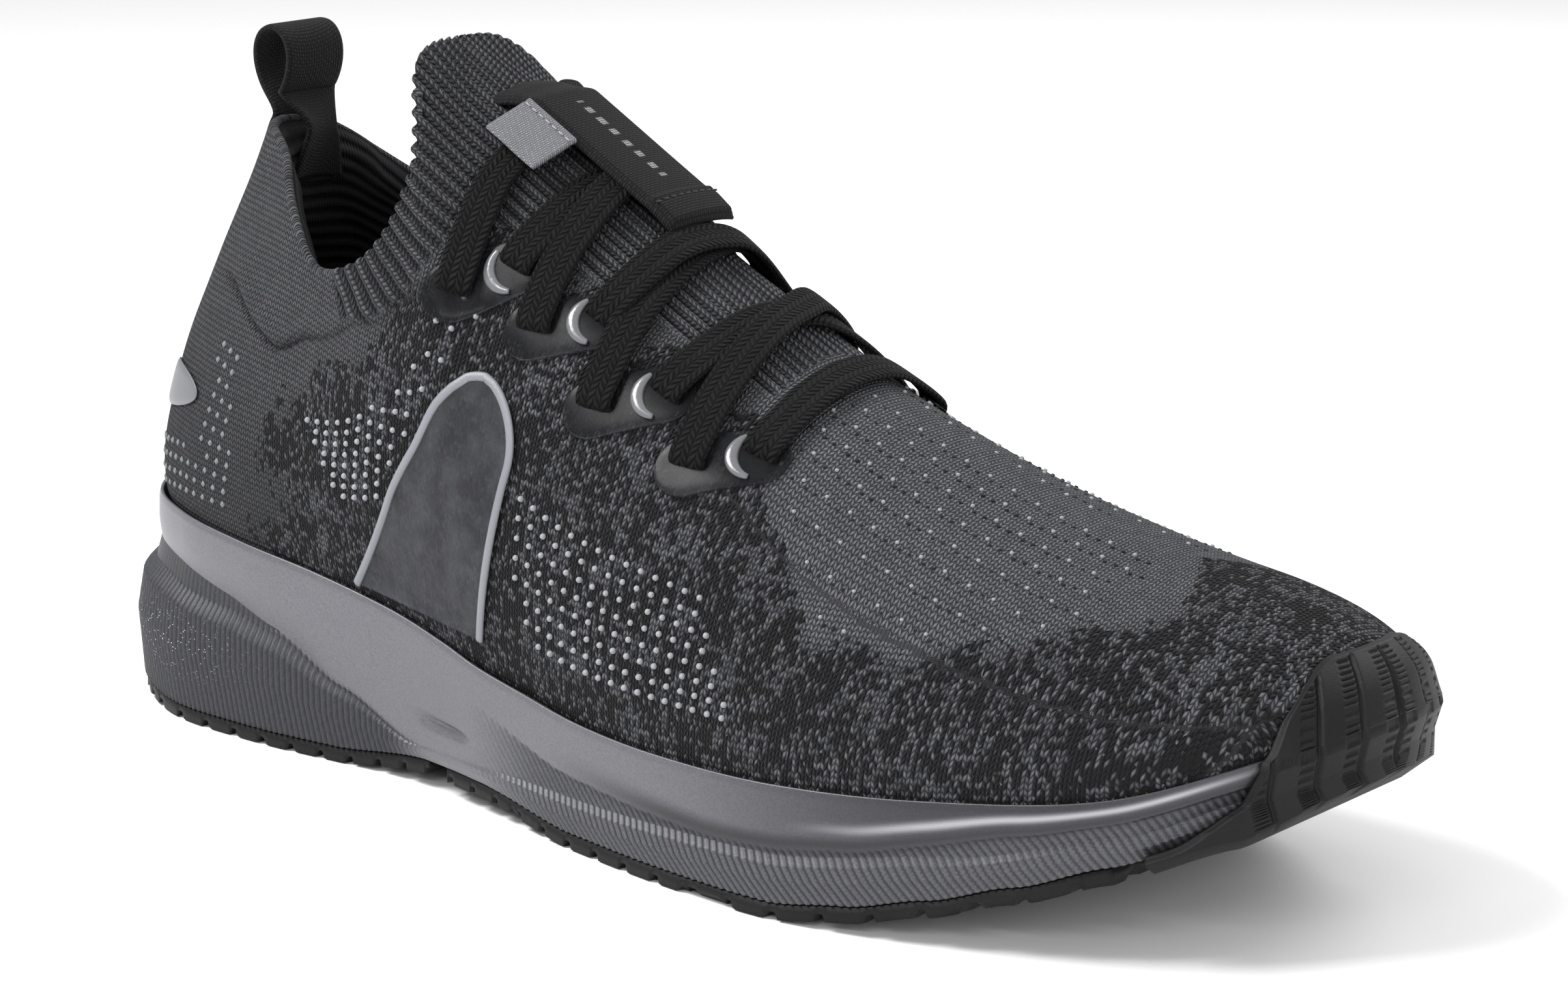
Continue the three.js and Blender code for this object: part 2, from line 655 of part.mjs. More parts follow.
// The toe pad turns up round the toe as a bumper: its side climbs from the ground to the rim of
// the midsole, then up the front of the knit.
function toeRubber() {
  const uList = steps(BUMPER_START, RING - BUMPER_START, 14);
  const climb = (u) => {
    const t = Math.min(u - BUMPER_START, RING - BUMPER_START - u) / (TOE - BUMPER_START);
    return THREE.MathUtils.lerp(BUMPER_LEAST, 1, THREE.MathUtils.smoothstep(t, 0.08, 0.74));
  };
  const sidePoint = (u, s, h) => {
    const profile = skinProfile(u);
    const rim = profile[0];
    if (s < 0.5) {
      const k = (s / 0.5) * 4;
      const i = Math.min(Math.floor(k), 3);
      const [a, b] = [profile[5 - i], profile[4 - i]];
      const out = THREE.MathUtils.lerp(a[0], b[0], k - i);
      const z = THREE.MathUtils.lerp(a[1], b[1], k - i);
      return besideFoot(u, Math.max(out, rim[0] - 1) + BUMPER_GAP + h, z);
    }
    const t = (s - 0.5) / 0.5;
    const overKnit = onUpper(u, THREE.MathUtils.lerp(BUMPER_MEETS, BUMPER_TOP, t), FIT + 0.2 + h);
    const atRim = besideFoot(u, rim[0] + BUMPER_GAP + h, rim[1] + 0.4);
    return atRim.lerp(overKnit, THREE.MathUtils.smoothstep(t, 0, 0.34));
  };
  const wallRows = (height) => {
    const onSide = Math.min(0.9 * height, 0.5);
    return [...steps(0, onSide, 4), ...steps(onSide, height, 4).slice(1)];
  };
  const grid = (h, z) => uList.map((u) => {
    const x = controlAt(0, u).x;
    const ground = along(GROUND, x) + z;
    const out = along(FLARE_OUT, x) - PAD_INSET;
    const edge = besideFoot(u, out, ground);
    const middle = edge.clone().lerp(besideFoot(RING - u, out, ground), 0.5);
    const wall = wallRows(climb(u)).map((s) => sidePoint(u, s, h));
    return [middle, edge, ...wall];
  });
  return slab(grid(BUMPER_OUT, 0), grid(0, RUBBER - FIT), { seam: true });
}

// ---------------------------------------------------------------- lace

const CROSS_LIFT = LACE_THICKNESS + 0.35;

// A point of the lace's middle line with the direction of its width.
const knot = (p, w) => ({ p, w });

// Through an eyelet: down is true from outside to inside. heading is the way the lace travels on
// the outside, and inHeading on the inside.
function through(uv, heading, inHeading, down) {
  const n = wallNormal(uv[0], uv[1]);
  const hole = onUpper(uv[0], uv[1], 0);
  const outside = heading.clone().projectOnPlane(n).normalize();
  const inside = inHeading.clone().projectOnPlane(n).normalize();
  const w = n.clone().cross(outside);
  const wIn = n.clone().cross(inside);
  if (wIn.dot(w) < 0) wIn.negate();
  const s = down ? -1 : 1; // the outside stretch lies behind the hole when going down
  const r = 2.1;
  const at = (dir, d, h, width) => knot(hole.clone().addScaledVector(dir, d).addScaledVector(n, h), width);
  const list = [
    at(outside, s * r, LACE_LIFT, w),
    at(outside, s * r * 0.3, LACE_LIFT - r * 0.3, w),
    at(outside, 0, -KNIT / 2, w),
    at(inside, -s * r * 0.3, -KNIT - LACE_LIFT + r * 0.3, wIn),
    at(inside, -s * r, -KNIT - LACE_LIFT, wIn),
  ];
  return down ? list : list.reverse();
}

const REAR_STATION = 3;

// The station whose wall point at height v stands at x, on the outer side, no further back than rear.
function stationAtX(x, v, rear = 5) {
  let [low, high] = [rear, APEX];
  for (let k = 0; k < 24; k += 1) {
    const middle = (low + high) / 2;
    if (wallAt(middle, v).x < x) low = middle;
    else high = middle;
  }
  return (low + high) / 2;
}

const uvAtX = (x, v, side, rear) => sideOf([stationAtX(x, v, rear), v], side);

// Points over the instep from the hole at uvA on one side to the hole at uvB on the other.
function overInstep(uvA, uvB, side, lift) {
  const [xA, xB] = [wallAt(...uvA).x, wallAt(...uvB).x];
  const route = [[0.16, 0.74, side, 0], [0.34, 0.9, side, 1], [0.5, 1, side, 1], [0.66, 0.9, -side, 1],
    [0.84, 0.74, -side, 0.4]];
  return route.map(([q, v, s, crossing]) => {
    const uv = uvAtX(xA + (xB - xA) * q, v, s);
    return { uv, h: LACE_LIFT + crossing * lift };
  });
}

function laidKnots(route, from, to) {
  const points = route.map(({ uv, h }) => onUpper(uv[0], uv[1], h));
  const all = [from, ...points, to];
  return route.map(({ uv }, i) => {
    const heading = all[i + 2].clone().sub(all[i]);
    return knot(points[i], wallNormal(...uv).cross(heading).normalize());
  });
}

// From the middle of the bar over the toe end to one side, and up that strand to its end.
function strand(side, lift) {
  const holes = EYELET_PAIRS.flatMap((pair, k) => {
    const here = (EYELET_PAIRS.length - 1 - k) % 2 === 0 ? side : -side;
    return [{ outer: sideOf(pair[0], here), inner: sideOf(pair[1], here), side: here }];
  }).reverse();
  const at = (uv) => onUpper(uv[0], uv[1], 0);
  const first = holes[0].inner;
  const barX = wallAt(...first).x;
  const bar = [1, 0.88].map((v) => ({ uv: uvAtX(barX, v, side), h: LACE_LIFT }));
  const acrossShoe = new THREE.Vector3(0, side, 0);
  const knots = [];
  const ridge = bar[0];
  knots.push(knot(onUpper(...ridge.uv, ridge.h), wallNormal(...ridge.uv).cross(acrossShoe)));
  knots.push(...laidKnots(bar.slice(1), onUpper(...ridge.uv, ridge.h), at(first)));
  holes.forEach((hole, k) => {
    const arriving = at(hole.inner).sub(knots[knots.length - 1].p);
    const inside = at(hole.outer).sub(at(hole.inner));
    knots.push(...through(hole.inner, arriving, inside, true));
    if (k + 1 < holes.length) {
      const route = overInstep(hole.outer, holes[k + 1].inner, hole.side, lift);
      const leaving = onUpper(...route[0].uv, route[0].h).sub(at(hole.outer));
      knots.push(...through(hole.outer, leaving, inside, false));
      knots.push(...laidKnots(route, at(hole.outer), at(holes[k + 1].inner)));
    } else {
      const route = endRoute(hole);
      const leaving = onUpper(...route[0].uv, route[0].h).sub(at(hole.outer));
      knots.push(...through(hole.outer, leaving, inside, false));
      const rim = overRim(hole.side < 0 ? END_RIM.outer : END_RIM.inner);
      knots.push(...laidKnots(route, at(hole.outer), rim[0].p), ...rim);
    }
  });
  return knots;
}

// Where each end goes over the collar's inner rim, in stations, and where it hangs inside the shoe.
const END_RIM = {
  outer: { station: 6.3, hang: [[87.5, 18, 107], [91, 19.2, 97], [93.2, 20, 86], [93.2, 20, 74]] },
  inner: { station: 5.72, hang: [[86, 21.2, 99], [85.3, 20.6, 91], [85, 20, 82], [85, 20, 68]] },
};

// Points over the rim: out from the wall, past the rim, down, and quarter turns of the width there.
const RIM_PLACES = [
  [LACE_LIFT, -4, 0, 0],
  [1.2, 1.8, 0, 0],
  [-KNIT / 2, 3.3, 0, 0.05],
  [-KNIT - 2.4, 2.8, 1.5, 0.45],
  [-KNIT - 4.2, 1.6, 7, 0.95],
];
const HANG_TURN = [0.5, 1, 1.4, Math.PI / 2]; // the hanging lace's width turns from across to along

// From the ankle holes to the rim: the outer strand passes under the strap and over the ridge.
function endRoute(hole) {
  if (hole.side < 0) {
    return [
      { uv: uvAtX(109, 0.75, -1), h: LACE_LIFT + 0.5 },
      { uv: uvAtX(109, 0.9, -1), h: LACE_LIFT },
      { uv: uvAtX(109, 1, -1), h: LACE_LIFT },
      { uv: uvAtX(108, 0.9, 1), h: LACE_LIFT },
      { uv: uvAtX(99, 0.86, 1), h: LACE_LIFT },
    ];
  }
  return [{ uv: [RING - 6.9, 0.72], h: LACE_LIFT }];
}

function overRim(end) {
  const u = RING - end.station;
  const n = wallNormal(u, 1);
  const rim = wallAt(u, 1);
  const w = wallAt(u + 0.05, 1).sub(wallAt(u - 0.05, 1)).normalize();
  const up = w.clone().cross(n).normalize();
  if (up.dot(rim.clone().sub(wallAt(u, 0.9))) < 0) up.negate();
  if (w.z < 0) w.negate();
  const over = RIM_PLACES.map(([h, rise, fall, quarters]) => {
    const a = (quarters * Math.PI) / 2;
    const p = rim.clone().addScaledVector(n, h).addScaledVector(up, rise);
    p.z -= fall;
    return knot(p, w.clone().multiplyScalar(Math.cos(a)).addScaledVector(n, -Math.sin(a)));
  });
  const hang = end.hang.map((p, i) => {
    const a = HANG_TURN[i];
    return knot(vec(p), new THREE.Vector3(Math.sin(a), -Math.cos(a), 0));
  });
  return [...over, ...hang];
}

const LACE_STEP = 9; // longest step along the lace

function ribbon(knots) {
  const curve = new THREE.CatmullRomCurve3(knots.map((k) => k.p), false, 'centripetal');
  const widths = [];
  for (const k of knots) {
    const last = widths[widths.length - 1];
    widths.push(last && last.dot(k.w) < 0 ? k.w.clone().negate() : k.w.clone());
  }
  const params = [];
  for (let i = 0; i < knots.length - 1; i += 1) {
    const count = Math.max(1, Math.ceil(knots[i].p.distanceTo(knots[i + 1].p) / LACE_STEP));
    for (let j = 0; j < count; j += 1) params.push((i + j / count) / (knots.length - 1));
  }
  params.push(1);
  const [half, flat, edge] = [LACE_WIDTH / 2, LACE_WIDTH / 2 - 0.8, LACE_THICKNESS / 2];
  const section = [[half, 0], [flat, edge], [-flat, edge], [-half, 0], [-flat, -edge], [flat, -edge]];
  const rings = params.map((t) => {
    const at = t * (knots.length - 1);
    const i = Math.min(Math.floor(at), knots.length - 2);
    const tangent = curve.getTangent(t);
    const width = widths[i].clone().lerp(widths[i + 1], at - i).projectOnPlane(tangent).normalize();
    const face = tangent.clone().cross(width);
    return section.map(([a, b]) => curve.getPoint(t).addScaledVector(width, a).addScaledVector(face, b));
  });
  return closedTube(rings);
}

// Rings of points joined in order, with flat ends.
function closedTube(rings) {
  const m = rings[0].length;
  const positions = rings.flat().flatMap((p) => [p.x, p.y, p.z]);
  const index = [];
  for (let i = 0; i < rings.length - 1; i += 1) {
    for (let j = 0; j < m; j += 1) {
      const [a, b] = [i * m + j, i * m + ((j + 1) % m)];
      index.push(a, a + m, b, b, a + m, b + m);
    }
  }
  const last = (rings.length - 1) * m;
  for (let j = 1; j < m - 1; j += 1) index.push(0, j, j + 1, last, last + j + 1, last + j);
  return bodyFrom(positions, index);
}

function laceKnots() {
  const outerEnd = strand(1, 0);
  const innerEnd = strand(-1, CROSS_LIFT);
  return [...outerEnd.reverse(), ...innerEnd.slice(1)];
}

const TIP_LENGTH = 19;
const TIP_RADIUS = 1.7;

function laceTip(end) {
  const last = vec(end.hang[end.hang.length - 1]);
  const before = vec(end.hang[end.hang.length - 2]);
  const down = last.clone().sub(before).normalize();
  const tip = new THREE.CylinderGeometry(TIP_RADIUS, TIP_RADIUS * 0.8, TIP_LENGTH, 10);
  const turn = new THREE.Quaternion().setFromUnitVectors(new THREE.Vector3(0, -1, 0), down);
  tip.applyQuaternion(turn);
  const middle = last.addScaledVector(down, TIP_LENGTH / 2 + FIT);
  tip.translate(middle.x, middle.y, middle.z);
  return tidy(tip);
}

// A box down through the knit at an eyelet, long across the lace.
function eyeletSlots() {
  const slots = [];
  for (const side of [-1, 1]) {
    EYELET_PAIRS.forEach((pair, k) => {
      const next = EYELET_PAIRS[k - 1];
      const before = EYELET_PAIRS[k + 1];
      const targets = [next ? next[1] : null, before ? before[0] : null];
      pair.forEach((plain, i) => {
        const uv = sideOf(plain, side);
        const n = wallNormal(...uv);
        const hole = onUpper(...uv, 0);
        const target = targets[i] ? onUpper(...sideOf(targets[i], -side), 0) : laneEnd(uv, side, i);
        const heading = target.sub(hole).projectOnPlane(n).normalize();
        const across = n.clone().cross(heading);
        const slot = new THREE.BoxGeometry(SLOT_WIDTH, SLOT_LENGTH, 3 * KNIT + 2);
        slot.applyMatrix4(new THREE.Matrix4().makeBasis(heading, across, n));
        slot.translate(hole.x - n.x * KNIT / 2, hole.y - n.y * KNIT / 2, hole.z - n.z * KNIT / 2);
        slots.push(tidy(slot));
      });
    });
  }
  return slots;
}

// The holes at the two ends of the lacing: the ankle ends aim at their end's way, the toe bar across.
function laneEnd(uv, side, i) {
  if (i === 1) return onUpper(...uvAtX(wallAt(...uv).x, 0.88, side), LACE_LIFT);
  const first = endRoute({ side })[0];
  return onUpper(...first.uv, first.h);
}

// ---------------------------------------------------------------- strap, tag and heel loop

const STRAP_FROM = 96.5; // along X
const STRAP_TO = 139.5;
const STRAP_LIFT = [[96.5, 0.5], [101, 3.2], [105, 4.9], [134, 4.9], [139.5, 4.2]];

function ridgeFrame(x) {
  const u = stationAtX(x, 1);
  const ahead = topAt(u + 0.03).sub(topAt(u - 0.03)).normalize();
  const across = new THREE.Vector3(0, 1, 0);
  return { point: topAt(u), ahead, across, up: ahead.clone().cross(across).normalize() };
}

function tongueStrap() {
  const grid = (extra) => steps(STRAP_FROM, STRAP_TO, 18).map((x) => {
    const f = ridgeFrame(x);
    return [-0.5, 0, 0.5].map((t) => f.point.clone().addScaledVector(f.up, along(STRAP_LIFT, x) + extra)
      .addScaledVector(f.across, t * STRAP_WIDTH));
  });
  return slab(grid(STRAP_THICKNESS), grid(0));
}

const TAG = { x: 110.5, length: 13.5, reach: 11, thickness: 1.2, droop: 0.5 };

// The tag's hinge line runs along the strap's outer edge; the tag hangs outwards and down from it.
function tongueTag() {
  const f = ridgeFrame(TAG.x);
  const hinge = f.point.clone().addScaledVector(f.up, along(STRAP_LIFT, TAG.x) + STRAP_THICKNESS / 2)
    .addScaledVector(f.across, -STRAP_WIDTH / 2 - 2 * FIT);
  const out = f.across.clone().negate().multiplyScalar(Math.cos(TAG.droop))
    .addScaledVector(f.up, -Math.sin(TAG.droop));
  const face = f.ahead.clone().cross(out).normalize();
  const tag = new THREE.BoxGeometry(TAG.length, TAG.reach, TAG.thickness);
  tag.applyMatrix4(new THREE.Matrix4().makeBasis(f.ahead, out, face));
  const middle = hinge.addScaledVector(out, TAG.reach / 2 + TAG.thickness / 2 * Math.sin(TAG.droop));
  tag.translate(middle.x, middle.y, middle.z);
  return tidy(tag);
}

const LOOP = { x: 30.4, y: 3.6, base: 124, height: 16, half: 6.4 };
const HEEL_MIDDLE_Y = 2;
const STATION_WIDTH = 11.5; // of the first stations beside the middle of the heel's rim

function heelLoop() {
  const tear = (inset) => {
    const points = [];
    const [half, low, high] = [LOOP.half - inset, inset * 1.6, LOOP.height - inset];
    for (let k = 0; k < 24; k += 1) {
      const t = (2 * Math.PI * k) / 24;
      const swell = Math.sin(t) * Math.pow(Math.abs(Math.sin(t / 2)), 0.6);
      points.push(new THREE.Vector2(half * swell, low + ((high - low) * (1 - Math.cos(t))) / 2));
    }
    return points;
  };
  const shape = new THREE.Shape(tear(0));
  shape.holes.push(new THREE.Path(tear(LOOP_THICKNESS).reverse()));
  const loop = new THREE.ExtrudeGeometry(shape, { depth: LOOP_WIDTH, bevelEnabled: false });
  loop.rotateX(Math.PI / 2);
  loop.translate(LOOP.x, LOOP.y + LOOP_WIDTH / 2, LOOP.base);
  return tidy(loop);
}

// The webbing's two stitched ends, over the back of the collar.
function heelLoopBase() {
  const deep = -(LINING_DEPTH + LINING + FIT);
  const rows = [[0.9, FIT, 0], [0.96, FIT, 0], [1, FIT, 0.4], [1, deep / 2, 0.9], [1, deep, 0.4],
    [0.95, deep, 0], [0.87, deep, 0]];
  const section = (y, extra) => {
    const u = (HEEL_MIDDLE_Y - y) / STATION_WIDTH;
    const n = wallNormal(u, 1);
    const up = wallAt(u, 1).sub(wallAt(u, 0.94)).normalize();
    return rows.map(([v, h, rise], k) => {
      const outside = k < 3 ? extra : 0;
      const insideFace = k > 3 ? -extra : 0;
      const above = k >= 2 && k <= 4 ? extra : 0;
      const p = v < 1 ? onUpper(u, v, h + outside + insideFace)
        : wallAt(u, 1).addScaledVector(n, h + outside + insideFace);
      return p.addScaledVector(up, rise + (v < 1 ? 0 : 0.3) + above);
    });
  };
  const ys = steps(LOOP.y - LOOP_WIDTH / 2, LOOP.y + LOOP_WIDTH / 2, 4);
  return slab(ys.map((y) => section(y, LOOP_THICKNESS)), ys.map((y) => section(y, 0)));
}

// ---------------------------------------------------------------- the assembly

const shoe = new THREE.Group();
shoe.position.set(-MIDDLE_X, -MIDDLE_Y, 0);

function add(name, geometry, color, roughness, metalness = 0) {
  const material = new THREE.MeshStandardMaterial({ color, roughness, metalness });
  const mesh = new THREE.Mesh(geometry, material);
  mesh.name = name;
  shoe.add(mesh);
}

const slots = eyeletSlots();
const HOLE_SIDES = { outer: -1, inner: 1 };

add('knit_upper', cut(upperShell(), slots), 0x4a4b50, 0.9);
add('collar_lining', liningPatch(0, LINING_REACH, 0, WALL_ROWS, LINING_DEPTH, LINING), 0x17171a, 0.95);
add('heel_counter', liningPatch(0, COUNTER_REACH, 0, 5, KNIT + FIT, COUNTER), 0xb9b4aa, 0.6);
add('toe_puff', liningPatch(TOE, PUFF_REACH, 1, 6, KNIT + FIT, COUNTER), 0xb9b4aa, 0.6);
add('strobel_board', strobelBoard(), 0xd8d6cf, 0.9);
add('sockliner_foam', sockliner(FIT, FIT + SOCKLINER_FOAM), 0x3c3d42, 0.9);
add('sockliner_cover', sockliner(COVER_FROM, COVER_FROM + SOCKLINER_COVER), 0x202024, 0.95);
add('midsole_skin', midsoleSkin(), 0x74757c, 0.38, 0.55);
add('midsole_core', midsoleCore(), 0xcfcfcf, 0.8);
add('outsole_heel_outer', outsolePad(HEEL_PADS.from, HEEL_PADS.to, 0, HEEL_PADS.split, 20), 0x151517, 0.7);
add('outsole_heel_inner', outsolePad(HEEL_PADS.from, HEEL_PADS.to, 1 - HEEL_PADS.split, 1, 20),
  0x151517, 0.7);
add('outsole_forefoot', outsolePad(FOREFOOT_PAD.from, FOREFOOT_PAD.to, 0, 1, 26), 0x151517, 0.7);
add('outsole_toe', toeRubber(), 0x151517, 0.7);
add('lace', ribbon(laceKnots()), 0x0e0e10, 0.9);
add('lace_tip_outer', laceTip(END_RIM.outer), 0x0b0b0c, 0.35);
add('lace_tip_inner', laceTip(END_RIM.inner), 0x0b0b0c, 0.35);
add('tongue_strap', tongueStrap(), 0x121214, 0.9);
add('tongue_tag', tongueTag(), 0x9b9ca3, 0.8);
add('heel_loop', heelLoop(), 0x0f0f12, 0.8);
add('heel_loop_base', heelLoopBase(), 0x0f0f12, 0.8);
for (const [name, side] of Object.entries(HOLE_SIDES)) {
  add(`collar_foam_${name}`, collarFoam(side), 0xe0d9c8, 0.9);
  add(`side_panel_${name}`, sidePanel(side), 0x7d7e86, 0.4, 0.2);
  add(`heel_reflector_${name}`, heelReflector(side), 0x8d8e96, 0.4, 0.2);
  EYELET_PAIRS.forEach((pair, k) => {
    add(`eyelet_film_${name}_${k + 1}`, cut(eyeletFilm(pair, side), slots), 0x5a5b61, 0.25);
  });
}

export default shoe;
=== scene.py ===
"""A right running shoe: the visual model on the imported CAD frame.

Shapes are worked out in millimetres with X from the heel to the toe, -Y the outer side and Z up,
as in the part's source, and moved to the row frame in metres when a mesh is made.
"""

import math

import bmesh
import bpy
import numpy as np
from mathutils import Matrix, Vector


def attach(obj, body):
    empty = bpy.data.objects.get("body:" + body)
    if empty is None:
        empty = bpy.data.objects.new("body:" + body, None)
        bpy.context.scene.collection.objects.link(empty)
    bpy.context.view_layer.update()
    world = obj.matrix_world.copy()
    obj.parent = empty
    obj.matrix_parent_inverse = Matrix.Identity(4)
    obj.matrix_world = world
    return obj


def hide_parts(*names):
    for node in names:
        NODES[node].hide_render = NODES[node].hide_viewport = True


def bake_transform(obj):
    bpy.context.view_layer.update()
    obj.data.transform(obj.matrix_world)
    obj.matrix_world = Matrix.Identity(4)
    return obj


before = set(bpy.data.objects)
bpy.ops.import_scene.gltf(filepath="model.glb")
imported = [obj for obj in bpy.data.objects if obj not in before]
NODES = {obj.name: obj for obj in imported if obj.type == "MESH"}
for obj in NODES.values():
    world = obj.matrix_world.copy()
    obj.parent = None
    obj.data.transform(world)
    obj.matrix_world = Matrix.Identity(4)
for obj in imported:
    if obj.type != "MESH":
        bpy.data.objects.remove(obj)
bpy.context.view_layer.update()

MIDDLE = np.array([147.1, -0.75, 0.0])  # the row frame's origin, in the part's own millimetres
# The camera, solved from points of the shoe: its direction, place and focal length.
AZIMUTH, ELEVATION = math.radians(39.434), math.radians(14.016)
CAMERA_AT = (653.017, -595.302, 252.347)
LENS = 95.55


def to_row(points):
    """Points in the part's millimetres, moved to the row frame in metres."""
    return (np.asarray(points, float) - MIDDLE) * 0.001


def unit(a):
    """Vectors scaled to a length of one."""
    return a / np.maximum(np.linalg.norm(a, axis=-1, keepdims=True), 1e-12)


def smooth(a, low, high):
    """0 below low, 1 above high, eased between."""
    t = np.clip((a - low) / (high - low), 0, 1)
    return t * t * (3 - 2 * t)


def bell(a, middle, width, power=2):
    """1 at the middle, falling to 0 over a few widths."""
    return np.exp(-((a - middle) / width) ** power)


def full_turn(count):
    """Angles of count points round a circle."""
    return np.linspace(0, 2 * math.pi, count, endpoint=False)


def running(points, axis=0):
    """The length travelled along one axis of a grid of points."""
    first = np.take(points, [0], axis)
    return np.cumsum(np.linalg.norm(np.diff(points, axis=axis, prepend=first), axis=-1), axis=axis)


def show(obj):
    bpy.context.scene.collection.objects.link(obj)
    return obj


# ---------------------------------------------------------------- camera, floor and lights

def make_camera():
    """A camera at CAMERA_AT that looks at the shoe from its front outer side."""
    data = bpy.data.cameras.new("camera")
    data.lens = LENS
    data.sensor_width = 36
    data.clip_start = 0.05
    cam = show(bpy.data.objects.new("camera", data))
    back = Vector((math.sin(AZIMUTH) * math.cos(ELEVATION), -math.cos(AZIMUTH) * math.cos(ELEVATION),
                   math.sin(ELEVATION)))
    cam.location = Vector(to_row(CAMERA_AT))
    cam.rotation_mode = "QUATERNION"
    cam.rotation_quaternion = (-back).to_track_quat("-Z", "Y")
    bpy.context.scene.camera = cam


def make_floor():
    mesh = bpy.data.meshes.new("floor")
    half = 6.0
    corners = [(-half, -half, 0), (half, -half, 0), (half, half, 0), (-half, half, 0)]
    mesh.from_pydata(corners, [], [(0, 1, 2, 3)])
    mesh.materials.append(Nodes("floor_paper", (0.93, 0.93, 0.935), 0.9).mat)
    show(bpy.data.objects.new("floor", mesh))


def area_light(name, place, target, size, power):
    data = bpy.data.lights.new(name, "AREA")
    data.shape = "RECTANGLE"
    data.size, data.size_y = size
    data.energy = power
    light = show(bpy.data.objects.new(name, data))
    light.location = Vector(place)
    light.rotation_mode = "QUATERNION"
    light.rotation_quaternion = (Vector(target) - Vector(place)).to_track_quat("-Z", "Y")


def make_lights():
    world = bpy.data.worlds.new("studio")
    world.use_nodes = True
    background = world.node_tree.nodes["Background"]
    background.inputs["Color"].default_value = (1, 1, 1, 1)
    background.inputs["Strength"].default_value = 0.56
    bpy.context.scene.world = world
    bpy.context.scene.view_settings.view_transform = "Standard"
    area_light("key", (-0.55, -0.60, 1.15), (0, 0, 0.05), (0.7, 0.5), 22)
    area_light("front", (0.95, -0.55, 0.42), (0.05, 0, 0.05), (0.5, 0.4), 3.0)
    area_light("strip", (0.40, -1.05, 0.72), (0.1, -0.04, 0.03), (0.9, 0.06), 3.2)
    area_light("rim", (0.2, 0.9, 0.75), (0, 0, 0.06), (0.9, 0.5), 7)


# ---------------------------------------------------------------- the upper's surface

# (foot, low, high, top, inner scales, inner top) for each station from the heel to the toe. A
# two-number high is [along the ridge, sideways] from top.
STATIONS = [
    ((4.5, 2, 42), (4, 2, 65), (22, 2, 92), (29.5, 2, 120.5), (1, 1), None),
    ((13, -20, 41), (12, -24.5, 63), (29, -21, 90), (35, -9.5, 121), (0.98, 0.98), (29.5, 12, 118.5)),
    ((31, -31, 40), (29, -37, 62), (43, -29, 90), (46, -17, 117), (1.02, 1), (34, 22.5, 112)),
    ((52, -35, 38), (50, -41, 59), (57, -36, 80), (56.5, -25.5, 108.5), (0.98, 0.98), (47, 29.5, 104)),
    ((74, -36, 35.5), (72, -42, 55), (74, -40, 77), (71, -32.5, 98.2), (0.93, 0.93), (70, 32, 97)),
    ((96, -37, 32), (96, -45, 55), (91, -45, 80), (88, -34, 104.5), (0.85, 0.83), (87, 31, 104)),
    ((112, -39.5, 29), (111, -48, 57), (103, -43, 96), (92.5, -27, 121), (0.75, 0.76), (91, 25, 121)),
    ((124, -42, 26.5), (122, -49, 60), (108, -40, 112), (83.8, -16, 138.8), (0.74, 0.68),
     (83.5, 14, 138.5)),
    ((138, -44.5, 24.5), (136, -50.5, 58), (38, 32), (81.5, 0, 142), (0.75, 0.8), None),
    ((156, -48, 22.5), (154, -54, 49), (33, 33), (110, 1, 125), (0.78, 0.66), None),
    ((178, -51, 21.8), (176, -56, 42), (20, 34), (143, 2.5, 105.5), (0.8, 0.6), None),
    ((205, -52, 22.3), (204, -57, 37), (14, 36), (180, 4.5, 85.2), (0.81, 0.62), None),
    ((234, -47, 24), (236, -51, 35.5), (14, 38), (214, 7, 71.2), (0.8, 0.66), None),
    ((264, -36, 27.5), (268, -41, 40), (16, 30), (242, 9, 63.3), (0.82, 0.8), None),
    ((284, -18, 34.5), (289.5, -22, 44), (27, 17), (252, 10, 61.7), (0.78, 0.85), None),
    ((292.5, 6, 38.5), (297.5, 7, 47), (35, 0), (252, 10, 61.7), (1, 1), None),
]
CROWN, APEX = 8, 14  # the stations where the two rims meet and where the ridge ends
TOE = len(STATIONS) - 1
RING = 2 * TOE  # stations all the way round: u runs up the outer side and back down the inner one
SIDES = (("outer", -1), ("inner", 1))

# Tables of [x, value]: the insole's bed, the tread, the ledge under the smooth band, and how far the
# ledge and the flare stand out from the foot line.
BED = [[0, 31], [70, 30], [120, 23], [170, 17], [205, 15.8], [240, 19.5], [262, 24], [280, 31],
       [292, 36]]
GROUND = [[-4, 7], [6, 3.2], [16, 1], [28, 0], [80, 0], [104, 2.6], [124, 2.6], [150, 0],
          [205, 0], [220, 2], [235, 5.4], [250, 9.8], [265, 14.6], [281, 20.5], [292, 27.5], [298, 33]]
LEDGE = [[-4, 33], [20, 32], [47, 28], [62, 24.5], [80, 16.5], [100, 9], [150, 10.5], [205, 12.5],
         [240, 17.5], [268, 24], [285, 31], [298, 36]]
LEDGE_OUT = [[-4, 1.6], [50, 1.6], [100, 1.4], [150, 1.6], [205, 2.2], [268, 1.2], [298, 0.4]]
FLARE_OUT = [[-4, 8], [30, 7], [60, 4.8], [90, 2], [110, 1.6], [150, 2.6], [205, 3.8],
             [250, 2.6], [275, 1.2], [298, 0.6]]
RIM_OUT = 2.2  # how far the midsole's rim stands out
RUBBER = 3.2  # thickness of the outsole
FIT = 0.3  # gap between touching pieces
KNIT = 2.0  # thickness of the upper
TURN_IN = 3.2  # how far the knit is turned in under the foot

RIDGE = np.array([s[3] for s in STATIONS[CROWN:APEX + 1]], float)


